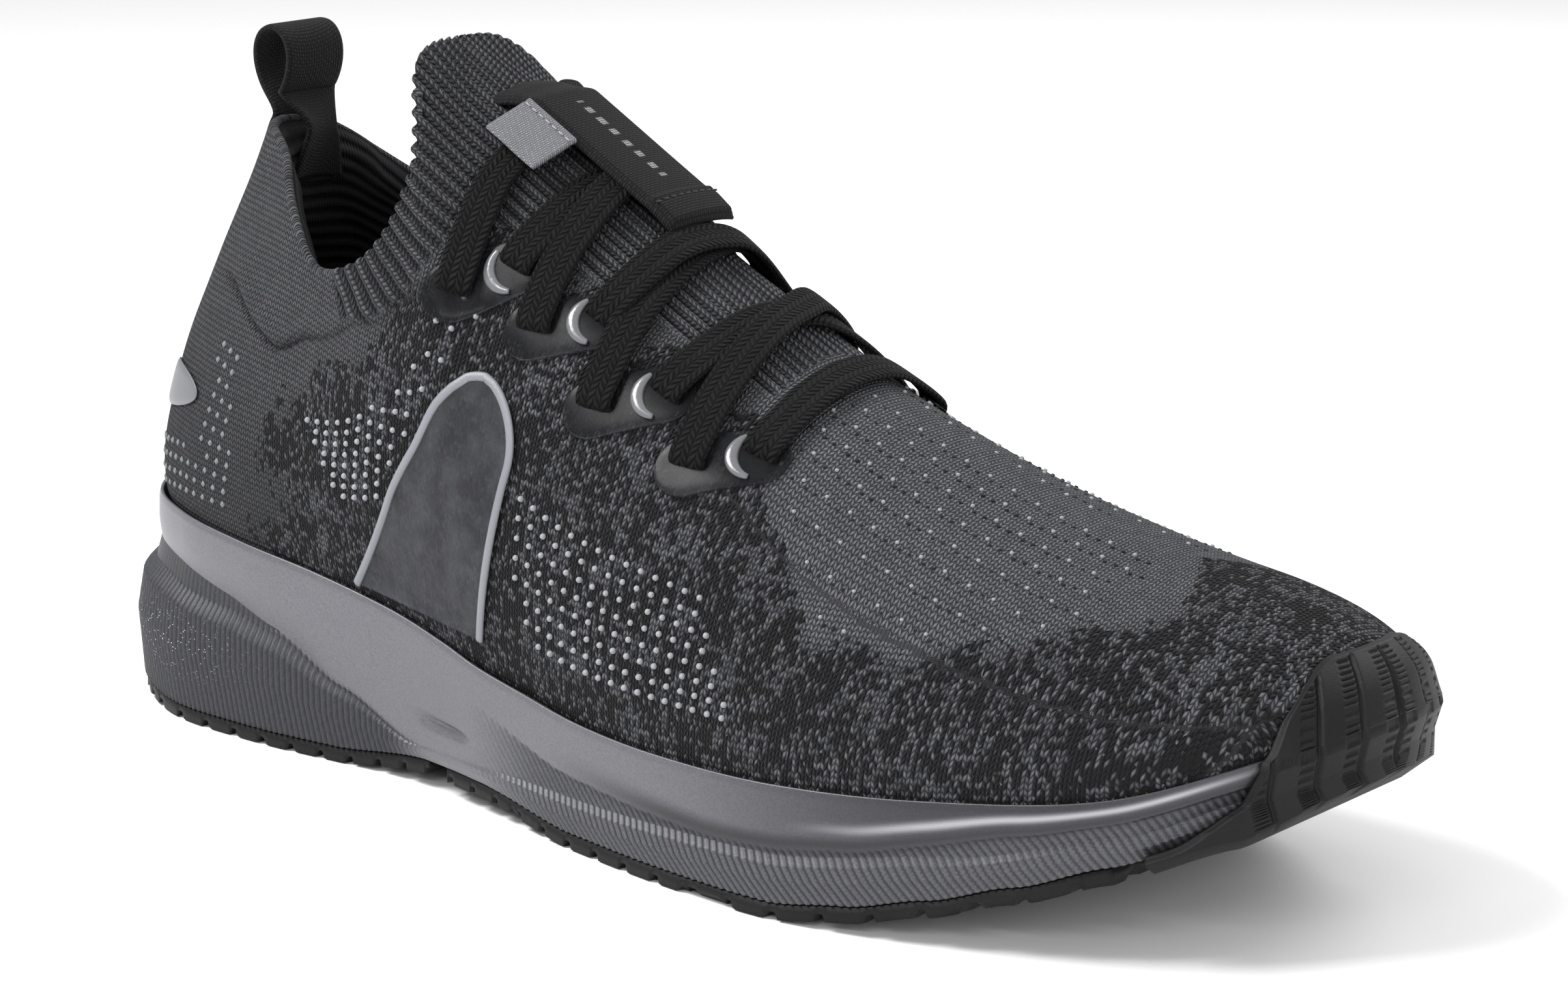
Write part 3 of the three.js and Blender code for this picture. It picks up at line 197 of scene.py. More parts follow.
def along(table, x):
    """The value of a table of [x, value] at x, eased between its rows."""
    table = np.asarray(table, float)
    x = np.asarray(x, float)
    i = np.clip(np.searchsorted(table[:, 0], x, side="right"), 1, len(table) - 1)
    x0, x1 = table[i - 1, 0], table[i, 0]
    f = np.clip((x - x0) / (x1 - x0), 0, 1)
    f = 0.5 * f + 0.5 * f * f * (3 - 2 * f)
    return table[i - 1, 1] + (table[i, 1] - table[i - 1, 1]) * f


def blend4(p0, p1, p2, p3, f):
    """A Catmull-Rom curve from p1 to p2."""
    f = f[..., None]
    return 0.5 * (2 * p1 + (p2 - p0) * f + (2 * p0 - 5 * p1 + 4 * p2 - p3) * f * f
                  + (3 * p1 - p0 - 3 * p2 + p3) * f ** 3)


def ridge_direction(station):
    i = min(station - CROWN, len(RIDGE) - 1)
    return unit(RIDGE[min(i + 1, len(RIDGE) - 1)] - RIDGE[max(i - 1, 0)])


def control_points(side):
    """Four control points for each station: foot, low, high and top."""
    rows = []
    for station, (foot, low, high, top, inner, inner_top) in enumerate(STATIONS):
        top = np.array(inner_top if side > 0 and inner_top else top, float)
        centre = top[1] if len(high) == 2 else 2

        def mirror(p, scale):
            q = np.array(p, float)
            if side > 0:
                q[1] = centre + (centre - q[1]) * scale
            return q

        if len(high) == 2:
            upper = top + ridge_direction(station) * high[0]
            upper[1] += side * high[1] * (inner[1] if side > 0 else 1)
        else:
            upper = mirror(high, inner[1])
        rows.append([mirror(foot, inner[0]), mirror(low, inner[0]), upper, top])
    return np.array(rows)


OUTER, INNER = control_points(-1), control_points(1)
ROUND = np.concatenate([OUTER, INNER[1:TOE][::-1]])


def rim_points(near, far):
    """The collar's rim on one side, with a few points of the other side past its ends."""
    return np.array([far[2][3], far[1][3], *near[:CROWN + 1, 3], far[CROWN - 1][3]])


RIMS = {-1: rim_points(OUTER, INNER), 1: rim_points(INNER, OUTER)}
RIDGE_LONG = np.concatenate([[2 * RIDGE[0] - RIDGE[1]], RIDGE, [2 * RIDGE[-1] - RIDGE[-2]]])


def control_at(column, u):
    """One row of control points, at fractional stations."""
    i = np.floor(u).astype(int)
    p = [ROUND[(i + k) % RING, column] for k in (-1, 0, 1, 2)]
    return blend4(*p, u - i)


def top_at(u):
    """The rim round the collar, then the ridge over the vamp, at fractional stations."""
    r = np.mod(u, RING)
    t = np.where(r > TOE, RING - r, r)
    out = np.empty(u.shape + (3,))
    for side in (-1, 1):
        m = (t <= CROWN) & ((r > TOE) == (side > 0))
        rim = RIMS[side]
        k = np.minimum(np.floor(t[m] + 2).astype(int), CROWN + 1)
        last = np.minimum(k + 2, len(rim) - 1)
        out[m] = blend4(rim[k - 1], rim[k], rim[k + 1], rim[last], t[m] + 2 - k)
    m = (t > CROWN) & (t < APEX)
    k = np.minimum(np.floor(t[m] - CROWN).astype(int), len(RIDGE) - 2)
    q = [RIDGE_LONG[k + j] for j in range(4)]
    out[m] = blend4(*q, t[m] - CROWN - k)
    out[t >= APEX] = RIDGE[-1]
    return out


def wall(u, v):
    """The upper's surface at station u, from the foot line at v = 0 to the rim or ridge at v = 1."""
    u, v = np.broadcast_arrays(np.asarray(u, float), np.asarray(v, float))
    w = (1 - v)[..., None]
    s = v[..., None]
    return (control_at(0, u) * w ** 3 + control_at(1, u) * 3 * w * w * s
            + control_at(2, u) * 3 * w * s * s + top_at(u) * s ** 3)


def one_sided_normal(u, v):
    du = wall(u + 0.02, v) - wall(u - 0.02, v)
    low = np.minimum(v, 0.98)
    dv = wall(u, low + 0.02) - wall(u, low)
    return unit(np.cross(du, dv))


def wall_normal(u, v):
    u, v = np.broadcast_arrays(np.asarray(u, float), np.asarray(v, float))
    r = np.mod(u, RING)
    t = np.minimum(r, RING - r)
    n = one_sided_normal(u, v)
    near = smooth(v, 0.955, 1.0) * smooth(t, CROWN - 0.6, CROWN)
    n = unit(n + one_sided_normal(RING - r, v) * near[..., None])
    tip = unit(np.cross(ridge_direction(APEX), [0, 1, 0]))
    near_tip = (smooth(v, 0.93, 1.0) * smooth(t, APEX - 0.8, APEX))[..., None]
    return unit(n * (1 - near_tip) + tip * near_tip)


def on_upper(u, v, h):
    """Points h millimetres outside the wall."""
    h = np.asarray(h, float)
    return wall(u, v) + wall_normal(u, v) * h[..., None]


def outward(u):
    """Level directions away from the foot line."""
    d = control_at(0, u + 0.05) - control_at(0, u - 0.05)
    return unit(np.stack([d[..., 1], -d[..., 0], np.zeros(d.shape[:-1])], -1))


def u_at_x(x, v, side, rear=3.0):
    """Stations whose wall point at height v stands at x on one side, no further back than rear."""
    x, v = np.broadcast_arrays(np.asarray(x, float), np.asarray(v, float))
    low, high = np.full(x.shape, rear), np.full(x.shape, float(APEX))
    for _ in range(24):
        middle = (low + high) / 2
        behind = wall(middle, v)[..., 0] < x
        low, high = np.where(behind, middle, low), np.where(behind, high, middle)
    t = (low + high) / 2
    return t if side < 0 else RING - t


def beside_foot(u, out, z):
    """Points at height z, out millimetres away from the foot line."""
    u, out, z = np.broadcast_arrays(np.asarray(u, float), np.asarray(out, float), np.asarray(z, float))
    p = control_at(0, u) + outward(u) * out[..., None]
    p[..., 2] = z
    return p


def mirror_u(u):
    """The station counted from the heel on either side."""
    r = np.mod(u, RING)
    return np.minimum(r, RING - r)


# ---------------------------------------------------------------- mesh building

WELD = 0.00002  # points of a body that are closer than this, in metres, are one


def new_object(name, points, faces, attributes=None):
    """A mesh object from points in millimetres. attributes are {name: one value or vector a point}."""
    mesh = bpy.data.meshes.new(name)
    mesh.from_pydata(to_row(points).tolist(), [], [list(map(int, f)) for f in faces])
    kinds = {1: ("FLOAT", "value"), 3: ("FLOAT_VECTOR", "vector"), 4: ("FLOAT_COLOR", "color")}
    for key, values in (attributes or {}).items():
        values = np.asarray(values, np.float32).reshape(len(points), -1)
        kind, field = kinds[values.shape[1]]
        mesh.attributes.new(key, kind, "POINT").data.foreach_set(field, values.ravel())
    mesh.polygons.foreach_set("use_smooth", [True] * len(mesh.polygons))
    mesh.update()
    return show(bpy.data.objects.new(name, mesh))


def face_out(obj, weld=0.0):
    """Turn a body's faces outwards, once points closer than weld metres are joined."""
    bm = bmesh.new()
    bm.from_mesh(obj.data)
    if weld:
        bmesh.ops.remove_doubles(bm, verts=bm.verts, dist=weld)
        bmesh.ops.dissolve_degenerate(bm, dist=weld / 4, edges=bm.edges)
    bmesh.ops.recalc_face_normals(bm, faces=bm.faces)
    for face in bm.faces:
        face.smooth = True
    bm.to_mesh(obj.data)
    bm.free()
    return obj


def grid_faces(ni, nj, wrap_i=False, wrap_j=False, offset=0, keep=None):
    """Four-sided faces of a grid of ni by nj points, closed round either way. keep is a mask of them."""
    i = np.arange(ni if wrap_i else ni - 1)
    j = np.arange(nj if wrap_j else nj - 1)
    i, j = np.meshgrid(i, j, indexing="ij")
    i2, j2 = (i + 1) % ni, (j + 1) % nj
    f = np.stack([i * nj + j, i2 * nj + j, i2 * nj + j2, i * nj + j2], -1)
    f = f[keep] if keep is not None else f.reshape(-1, 4)
    return f + offset


def slab(name, outer, inner, mm=None, wrap_i=False, extra=None):
    """A closed body between two grids of points, with the flat coordinates mm kept for its material."""
    ni, nj = outer.shape[:2]
    n = ni * nj
    points = np.concatenate([outer.reshape(-1, 3), inner.reshape(-1, 3)])
    i = np.arange(ni if wrap_i else ni - 1)
    k = (i + 1) % ni
    a = nj - 1
    faces = [grid_faces(ni, nj, wrap_i), grid_faces(ni, nj, wrap_i, offset=n)[:, ::-1],
             np.stack([n + i * nj, n + k * nj, k * nj, i * nj], -1),
             np.stack([i * nj + a, k * nj + a, n + k * nj + a, n + i * nj + a], -1)]
    if not wrap_i:
        j = np.arange(nj - 1)
        b = (ni - 1) * nj
        faces.append(np.stack([j, j + 1, n + j + 1, n + j], -1))
        faces.append(np.stack([n + b + j, n + b + j + 1, b + j + 1, b + j], -1))
    attributes = {key: np.concatenate([values.ravel()] * 2) for key, values in (extra or {}).items()}
    if mm is not None:
        attributes = {"mm": np.concatenate([mm.reshape(-1, 3)] * 2), **attributes}
    return face_out(new_object(name, points, np.concatenate(faces), attributes), WELD)


# ---------------------------------------------------------------- material building

def math_node(operation, back=False):
    """A method of Value that adds one math node. back puts the other value first."""
    def method(self, *others):
        values = (*others, self) if back else (self, *others)
        return self.nodes.math(operation, *values)
    return method


class Value:
    """One output of a material's nodes, so that sums of them are written as sums."""

    def __init__(self, nodes, socket):
        self.nodes = nodes
        self.socket = socket

    __add__ = __radd__ = math_node("ADD")
    __mul__ = math_node("MULTIPLY")
    __sub__ = math_node("SUBTRACT")
    __rsub__ = math_node("SUBTRACT", back=True)
    __truediv__ = math_node("DIVIDE")
    __pow__ = math_node("POWER")
    __mod__ = math_node("MODULO")
    __lt__ = math_node("LESS_THAN")
    __gt__ = math_node("GREATER_THAN")
    __abs__ = math_node("ABSOLUTE")
    floor = math_node("FLOOR")
    fract = math_node("FRACT")
    zigzag = math_node("PINGPONG")

    def arch(self):
        """0 at each whole number and 1 halfway between two."""
        return self.nodes.math("SINE", self.fract() * math.pi)

    def ramp(self, low, high):
        """0 below low, 1 above high, eased between."""
        limits = {"Value": self, "From Min": low, "From Max": high}
        return self.nodes.add("MapRange", 0, limits, interpolation_type="SMOOTHSTEP")

    def other(self, output):
        """Another output of the same node."""
        return Value(self.nodes, self.socket.node.outputs[output])


class Nodes:
    """Short calls that add shader nodes to one material."""

    def __init__(self, name, color=(0.5, 0.5, 0.5), rough=0.6, metal=0.0):
        self.mat = bpy.data.materials.new(name)
        self.mat.use_nodes = True
        self.tree = self.mat.node_tree
        self.shader = self.tree.nodes["Principled BSDF"]
        self.set("Base Color", color).set("Roughness", rough).set("Metallic", metal)

    def put(self, target, value):
        if isinstance(value, Value):
            self.tree.links.new(value.socket, target)
        elif target.type == "RGBA":
            target.default_value = (*value, 1)
        else:
            target.default_value = value

    def set(self, name, value):
        """Set one of the shader's own sockets, or link a value to it."""
        self.put(self.shader.inputs[name], value)
        return self

    def add(self, kind, output, inputs, **settings):
        """A new node with its settings and inputs filled in: the value of one of its outputs."""
        node = self.tree.nodes.new("ShaderNode" + kind)
        for key, value in settings.items():
            setattr(node, key, value)
        for key, value in inputs.items():
            self.put(node.inputs[key], value)
        return Value(self, node.outputs[output])

    def math(self, operation, *values):
        return self.add("Math", 0, dict(enumerate(values)), operation=operation)

    def attribute(self, name, output="Fac"):
        return self.add("Attribute", output, {}, attribute_name=name)

    def flat_mm(self):
        """The piece's flat coordinates in millimetres, as three values."""
        x = self.add("SeparateXYZ", 0, {0: self.attribute("mm", "Vector")})
        return x, x.other(1), x.other(2)

    def object_mm(self):
        """Object coordinates in millimetres, as one vector."""
        place = self.add("TexCoord", "Object", {})
        return self.add("VectorMath", 0, {0: place, "Scale": 1000}, operation="SCALE")

    def noise(self, vector, scale, detail=2.0, rough=0.5):
        inputs = {"Vector": vector, "Scale": scale, "Detail": detail, "Roughness": rough}
        return self.add("TexNoise", "Fac", inputs)

    def random(self, *values):
        """A random number for each place, from a vector or from up to three values."""
        place = values[0] if len(values) == 1 else self.join(*values)
        return self.add("TexWhiteNoise", "Value", {"Vector": place})

    def join(self, x, y, z=0.0):
        return self.add("CombineXYZ", 0, {0: x, 1: y, 2: z})

    def mix(self, share, a, b):
        return self.add("Mix", "Result", {"Factor": share, "A": a, "B": b}, data_type="RGBA")

    def bump(self, height, depth):
        """Bumps depth metres deep where height runs from 0 to 1."""
        inputs = {"Strength": 1.0, "Distance": depth, "Height": height}
        return self.set("Normal", self.add("Bump", 0, inputs))


HOLLOW = (0.005, 0.005, 0.006)  # the shade at the bottom of the knit


def stitches(m, u, v, wale, course):
    """Knit loops in flat coordinates: (height, random number of each leg, random of each loop)."""
    column = u / wale
    from_middle = abs(column.fract() - 0.5)
    row = v / course + from_middle * 1.1
    leg = abs(from_middle - 0.25) * 4.0
    height = row.arch() ** 0.7 * (1.0 - leg ** 3.0)
    leg_random = m.random((column * 2.0).floor(), row.floor(), 0.0)
    loop_random = m.random(column.floor(), row.floor(), 7.0)
    return height, leg_random, loop_random


def knit_material():
    """Grey knit with dark and light yarn mixed where the zone's alpha says, and ribs along the tongue."""
    m = Nodes("knit", rough=0.92)
    u, v, around = m.flat_mm()
    tone = m.attribute("zone", "Color")
    melange = tone.other("Alpha")
    rib = m.attribute("rib")
    height, leg_random, loop_random = stitches(m, u, v, 1.45, 1.15)
    rib_height = stitches(m, around, u, 1.15, 1.1)[0]
    patches = m.noise(m.join(u * 0.16, v * 0.085), 1.0, 3.0, 0.6)
    light = m.mix(loop_random, (0.052, 0.053, 0.060), (0.135, 0.137, 0.151))
    is_light = leg_random < patches.ramp(0.36, 0.68) * 0.55 + 0.20
    mixed = m.mix(is_light, (0.0090, 0.0091, 0.0110), light)
    plain = m.mix(loop_random * 0.3, tone, (0.012, 0.012, 0.014))
    base = m.mix(loop_random < melange, plain, mixed)
    # Painted shade: HOLLOW darkens the rib grooves, the pleat, the eyelets and the gaps between the loops.
    base = m.mix(m.attribute("groove_shade") * 0.88, base, HOLLOW)
    both = height * (1.0 - rib) + rib_height * rib
    gap = 1.0 - both.ramp(0.0, 0.75)
    m.set("Base Color", m.mix(gap * 0.85, base, HOLLOW)).bump(both, 0.0011)
    m.set("Sheen Weight", 0.04).set("Sheen Roughness", 0.5).set("Specular IOR Level", 0.12)
    return m.mat


def ribbed_material(name, dark, light, pitch):
    """Knit in long narrow ribs across the second flat coordinate."""
    m = Nodes(name, rough=0.95)
    u, v, _ = m.flat_mm()
    ridge = (v / pitch).zigzag(0.5).ramp(0.02, 0.42)
    stitch = (u / 0.9).zigzag(0.5)
    # Painted shade: the colour is darker in the grooves between the ribs.
    m.set("Base Color", m.mix(ridge, dark, light)).bump(ridge + stitch * 0.5, 0.0007)
    m.set("Sheen Weight", 0.03).set("Specular IOR Level", 0.1)
    return m.mat


def braid_material():
    """A flat braid: herringbone strands slanting out from the middle of its width."""
    m = Nodes("lace_braid", rough=0.78)
    u, v, _ = m.flat_mm()
    lane = v / 1.5
    run = u / 1.45 + lane.zigzag(1.0)
    furrow = lane.zigzag(0.5).ramp(0.0, 0.22)
    height = run.arch() * (furrow * 0.6 + 0.4)
    shade = m.random(run.floor(), lane.floor(), 1.0)
    # Painted shade: darker toward the strands' ends and furrows, times a random tone for each strand.
    lit = height * (shade * 0.5 + 0.5)
    m.set("Base Color", m.mix(lit, (0.0012, 0.0012, 0.0014), (0.0085, 0.0085, 0.0098)))
    m.bump(height, 0.0008).set("Specular IOR Level", 0.16)
    return m.mat


def woven_material(name, dark, light, pitch, slant=0.0, mark=None):
    """Woven tape: warp ridges along the length with the weft showing between them."""
    m = Nodes(name, rough=0.85)
    u, v, _ = m.flat_mm()
    warp = v / pitch + u * slant
    weft = u / pitch
    over = (warp.floor() + weft.floor()) % 2.0
    height = warp.arch() * weft.arch() * (over * 0.5 + 0.5)
    tint = m.random(warp.floor(), weft.floor(), 3.0)
    # Painted shade: darker where the weave is low, with a random tint for each crossing.
    color = m.mix(height * (tint * 0.4 + 0.6), dark, light)
    if mark:
        color = m.mix(m.attribute("mark") * height.ramp(0.0, 0.3), color, mark)
    m.set("Base Color", color).bump(height, 0.00022)
    m.set("Sheen Weight", 0.02).set("Specular IOR Level", 0.15)
    return m.mat


def skin_material():
    """Satin pearl skin of the midsole: fine metallic grain, darker in the ribbed flare, with painted
    shade, a painted highlight and painted glints in its colour.
    """
    m = Nodes("midsole_pearl", rough=0.36, metal=0.55)
    p = m.object_mm()
    flare, band = m.attribute("flare"), m.attribute("band")
    grain = m.noise(p, 2.6, 3.0, 0.7)
    cloud = m.noise(p, 0.02, 2.0, 0.5)
    fine = grain.ramp(0.3, 0.7)
    tone = m.mix(fine, (0.118, 0.118, 0.130), (0.172, 0.172, 0.189))
    tone = m.mix(cloud * 0.3, tone, (0.10, 0.10, 0.112))
    tone = m.mix(flare, tone, m.mix(fine, (0.038, 0.039, 0.044), (0.064, 0.065, 0.073)))
    tone = m.mix(band, tone, m.mix(fine, (0.070, 0.071, 0.079), (0.115, 0.116, 0.128)))
    # Painted shade: the forefoot band darkened where the shade attribute says.
    tone = m.mix(m.attribute("shade"), tone, (0.014, 0.014, 0.017))
    # Painted highlight along the forefoot band near the toe.
    tone = m.mix(m.attribute("painted_highlight"), tone, (0.62, 0.62, 0.65))
    # Painted shade in the ribs' furrows.
    tone = m.mix(m.attribute("furrow") * 0.82, tone, (0.018, 0.018, 0.021))
    # Painted glints: bright specks in one patch of the heel's flare.
    cell = m.add("TexVoronoi", "Distance", {"Vector": p, "Scale": 2.0})
    lucky = m.random(cell.other("Position")) > 0.66
    painted_glints = (cell < 0.22) * lucky * m.attribute("painted_glints")
    m.set("Base Color", m.mix(painted_glints, tone, (0.7, 0.7, 0.74)))
    m.set("Roughness", grain * 0.16 + 0.33 + (flare + band * 0.5) * 0.2)
    m.bump(grain, 0.00006).set("Coat Weight", 0.12).set("Coat Roughness", 0.3)
    return m.mat


def rubber_material(name, tone):
    m = Nodes(name)
    p = m.object_mm()
    grain = m.noise(p, 3.5, 4.0, 0.6)
    dust = m.noise(p, 0.06, 3.0, 0.6).ramp(0.35, 0.75)
    clean, dusty = (tone, tone, tone * 1.05), (tone * 1.6, tone * 1.6, tone * 1.7)
    m.set("Base Color", m.mix(dust, clean, dusty)).set("Roughness", grain * 0.2 + 0.42)
    m.bump(grain, 0.00008).set("Specular IOR Level", 0.2)
    return m.mat


def film_material(name, color, alpha, rough, depth):
    """A thin clear film: a little cloudy, and uneven by depth metres where the knit shows through."""
    m = Nodes(name, color, rough)
    p = m.object_mm()
    cloud = m.noise(p, 0.2)
    m.set("Base Color", m.mix(cloud.ramp(0.3, 0.75), tuple(c * 0.6 for c in color), color))
    m.set("Alpha", cloud * 0.2 + (alpha - 0.1)).set("Specular IOR Level", 0.18)
    m.bump(m.noise(p, 0.45), depth)
    return m.mat


def plain_material(name, color, rough, depth=0.0001, scale=2.0, metal=0.0):
    """A moulded or felted surface with fine grain and slight tone changes."""
    m = Nodes(name, color, rough, metal)
    p = m.object_mm()
    grain = m.noise(p, scale, 3.0, 0.6)
    uneven = (grain + m.noise(p, 0.05)) * 0.5
    m.set("Base Color", m.mix(uneven, tuple(c * 0.65 for c in color), color)).bump(grain, depth)
    return m.mat


def give(obj, mat):
    obj.data.materials.clear()
    obj.data.materials.append(mat)
    return obj


def settle(piece, mat, slot, *nodes, body="shoe"):
    """Give a piece its material and body, and hide the CAD nodes that it stands for. slot is not used."""
    give(piece, mat)
    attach(piece, body)
    if nodes:
        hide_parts(*nodes)
    return piece


# ---------------------------------------------------------------- the knitted upper

RIB_PITCH = 2.3
RIB_DEPTH = 0.62
EYELET_DEPTH = 1.7  # how far the knit is drawn in round a hole
TUCK = 1.6  # how far below the insole's bed its turned-in edge lies
HEEL_TURN = 3.0  # station behind which the flat coordinates follow the rows round the heel
TOE_CAP_FROM = 160  # X beyond which they are taken from above and from ahead
KNIT_GREY = (0.104, 0.106, 0.116)
DARK_INSIDE = (0.012, 0.012, 0.013)  # tone of the knit's inner face


def flat_coordinates(u, v):
    """Flat coordinates in millimetres for a grid of the wall: along the shoe, up the wall and round
    the tongue. The first two start at the heel's middle and the foot line."""
    p = wall(u, v)
    d = np.diff(p, axis=1, prepend=p[:, :1])
    t = mirror_u(u)
    ends = 1 - smooth(t, 2.6, 3.6)
    girth = np.cumsum(np.sqrt(ends * d[..., 0] ** 2 + d[..., 1] ** 2 + d[..., 2] ** 2), axis=1)
    x = p[..., 0]
    step = np.diff(p, axis=0, prepend=p[:1])
    run = np.cumsum(np.sqrt(step[..., 0] ** 2 + step[..., 1] ** 2), axis=0)

    def along_row(station):
        i = int(np.argmin(np.abs(u[:, 0] - station)))
        return x[i], run[i]

    x0, run0 = along_row(HEEL_TURN)
    length = np.where(u < HEEL_TURN, x0 + run - run0, x)
    x0, run0 = along_row(RING - HEEL_TURN)
    length = np.where(u > RING - HEEL_TURN, x0 - run + run0, length)
    n = np.abs(wall_normal(u, v))
    toe = x > TOE_CAP_FROM
    ahead = toe & (n[..., 0] > n[..., 1]) & (n[..., 0] > n[..., 2])
    above = toe & ~ahead & (n[..., 2] > n[..., 1])
    length = np.where(ahead, p[..., 1], length)
    girth = np.where(ahead, p[..., 2] * 1.15, np.where(above, p[..., 1], girth))
    middle = (x - 81) * 0.04
    rise = 0.512 * x + 0.859 * p[..., 2]
    around = 28 * np.arctan2(p[..., 1] - middle, rise - 136)
    return p, length, girth, around


# Tables of [station, height on the wall]: where the ribs begin, the upper edge of the mixed yarn, and
# the pleat below the collar.
RIB_LINE = [[0, 1.1], [4.2, 1.05], [4.6, 0.86], [5.2, 0.80], [6, 0.72], [7, 0.66], [7.7, 0.655],
            [8.4, 0.70], [9.28, 0.745], [10, 0.775], [10.6, 0.80], [10.9, 1.1], [15, 1.1]]
MELANGE_LINE = [[0, 0], [2.9, 0], [3.6, 0.60], [4.2, 0.70], [5, 0.765], [6, 0.70], [7, 0.64],
                [7.7, 0.635], [8.4, 0.68], [9.28, 0.725], [10, 0.755], [10.55, 0.74], [10.75, 0.62],
                [11.2, 0.40], [11.7, 0.44], [12.2, 0.53], [12.8, 0.63], [13.3, 0.72], [13.8, 0.93],
                [14.1, 1.1], [15, 1.1]]
PLEAT_LINE = [[0, 0.69], [2.8, 0.69], [3.33, 0.695], [3.96, 0.80], [4.81, 0.834], [5.64, 0.751],
              [6.77, 0.62], [15, 0.62]]


def knit_zones(u, v, length, girth):
    """Tone and melange share of each point, and how far it is ribbed."""
    t = mirror_u(u)
    ribbed = smooth(v - along(RIB_LINE, t), -0.012, 0.02)
    wander = 0.014 * np.sin(length * 0.33) + 0.012 * np.sin(length * 0.13 + girth * 0.21)
    below = along(MELANGE_LINE, t) + wander - v
    melange = smooth(below, -0.035, 0.035) * smooth(t + 0.25 * np.sin(girth * 0.3), 3.0, 3.9)
    tone = np.ones(u.shape + (3,)) * KNIT_GREY
    heel = (1 - smooth(t, 3.2, 4.6)) * (1 - ribbed)
    low = 1 - smooth(v, 0.25, 0.75)
    tone *= (1 - 0.30 * heel * low)[..., None]
    tone *= (1 + 0.30 * ribbed * smooth(t, 8.2, 9.4))[..., None]
    vamp = smooth(t, 10.2, 11) * (1 - melange)
    tone *= (1 + 0.42 * vamp)[..., None]
    return tone, melange, ribbed


def upper_displacement(u, v, around, ribbed, girth):
    """Height of the ribs, the collar's pleat and the knit's slight unevenness, and where painted shade
    darkens the rib grooves and the pleat.
    """
    wave = np.cos(2 * np.pi * around / RIB_PITCH)
    ribs = RIB_DEPTH * ribbed * (np.abs(wave) ** 0.6 * np.sign(wave) - 0.35)
    t = mirror_u(u)
    past = v - along(PLEAT_LINE, t)
    folded = smooth(t, 1.5, 2.1) * (1 - smooth(t, 6.2, 6.8)) * (1 - 0.5 * smooth(t, 3.4, 4.4))
    pleat = -1.2 * folded * bell(past, 0, 0.011)
    puff = 0.9 * folded * bell(past, 0.035, 0.03)
    foot = -0.9 * bell(v, 0, 0.022)
    loose = 0.16 * np.sin(girth * 0.21 + t * 2.1) * np.sin(t * 3.3 + girth * 0.05)
    groove_shade = ribbed * smooth(-wave, -0.15, 0.85) + 0.7 * folded * bell(past, 0, 0.008)
    return ribs + pleat + puff + foot + loose, np.clip(groove_shade, 0, 1)


def upper_stations():
    """Stations all round the upper, closest together where it's ribbed."""
    half = np.concatenate([np.arange(0, 4.4, 0.06), np.arange(4.4, 11.1, 0.018),
                           np.arange(11.1, TOE - 1e-6, 0.05)])
    return np.concatenate([half, [TOE], RING - half[:0:-1]])


def knit_upper():
    """The upper as one closed body: tucked edge, outer face, rolled rim and inner face."""
    us = upper_stations()
    vs = np.concatenate([np.linspace(0, 0.5, 44, endpoint=False), np.linspace(0.5, 1, 96)])
    u, v = np.meshgrid(us, vs, indexing="ij")
    p, length, girth, around = flat_coordinates(u, v)
    tone, melange, ribbed = knit_zones(u, v, length, girth)
    height, groove_shade = upper_displacement(u, v, around, ribbed, girth)
    holes = eyelet_shade(p)
    height = height - EYELET_DEPTH * holes
    outer = p + wall_normal(u, v) * height[..., None]
    rim = rim_rows(us, height[:, -1])
    iu, iv = np.meshgrid(us, np.linspace(1, 0, 26), indexing="ij")
    inner = on_upper(iu, iv, -KNIT - 0 * iu)
    tuck = along(BED, control_at(0, us)[:, 0]) - TUCK
    low_out = beside_foot(us, -TURN_IN, tuck)[:, None]
    low_in = beside_foot(us, -TURN_IN - KNIT, tuck)[:, None]
    grid = np.concatenate([low_out, outer, rim, inner, low_in], axis=1)
    ni, nj = grid.shape[:2]
    last_outer = len(vs)
    first_inner = last_outer + rim.shape[1] + 1
    middles = mirror_u((us + np.roll(us, -1)) / 2)
    middles[-1] = mirror_u(us[-1] + 0.01)
    keep = np.ones((ni, nj), bool)
    keep[middles > CROWN, last_outer:first_inner] = False

    def carried(values):
        """Values of the outer face, carried on to the tucked edge, the rim and the inner face."""
        beyond = np.repeat(values[:, -1:], nj - 1 - last_outer, axis=1)
        return np.concatenate([values[:, :1], values, beyond], axis=1)

    zone = carried(np.concatenate([tone, melange[..., None]], -1))
    zone[:, first_inner:] = (*DARK_INSIDE, 0)
    # Painted shade in the rib grooves, the pleat and the eyelets is carried as a mask.
    attributes = {"mm": carried(np.stack([length, girth, around], -1)), "zone": zone,
                  "rib": carried(ribbed),
                  "groove_shade": carried(np.clip(np.maximum(groove_shade, 1.2 * holes), 0, 1))}
    faces = grid_faces(ni, nj, True, True, keep=keep)
    knit = face_out(new_object("upper_knit", grid.reshape(-1, 3), faces, attributes), WELD)
    settle(knit, knit_material(), "knit", "knit_upper")


def eyelet_shade(p):
    """1 inside each eyelet, falling to 0 at its edge."""
    deep = np.zeros(p.shape[:-1])
    for side in (-1, 1):
        for uv in (hole for pair in EYELET_PAIRS for hole in pair):
            far = np.linalg.norm(p - one(on_upper, *side_of(uv, side), 0), axis=-1)
            deep = np.maximum(deep, 1 - smooth(far, 2.6, 4.4))
    return deep


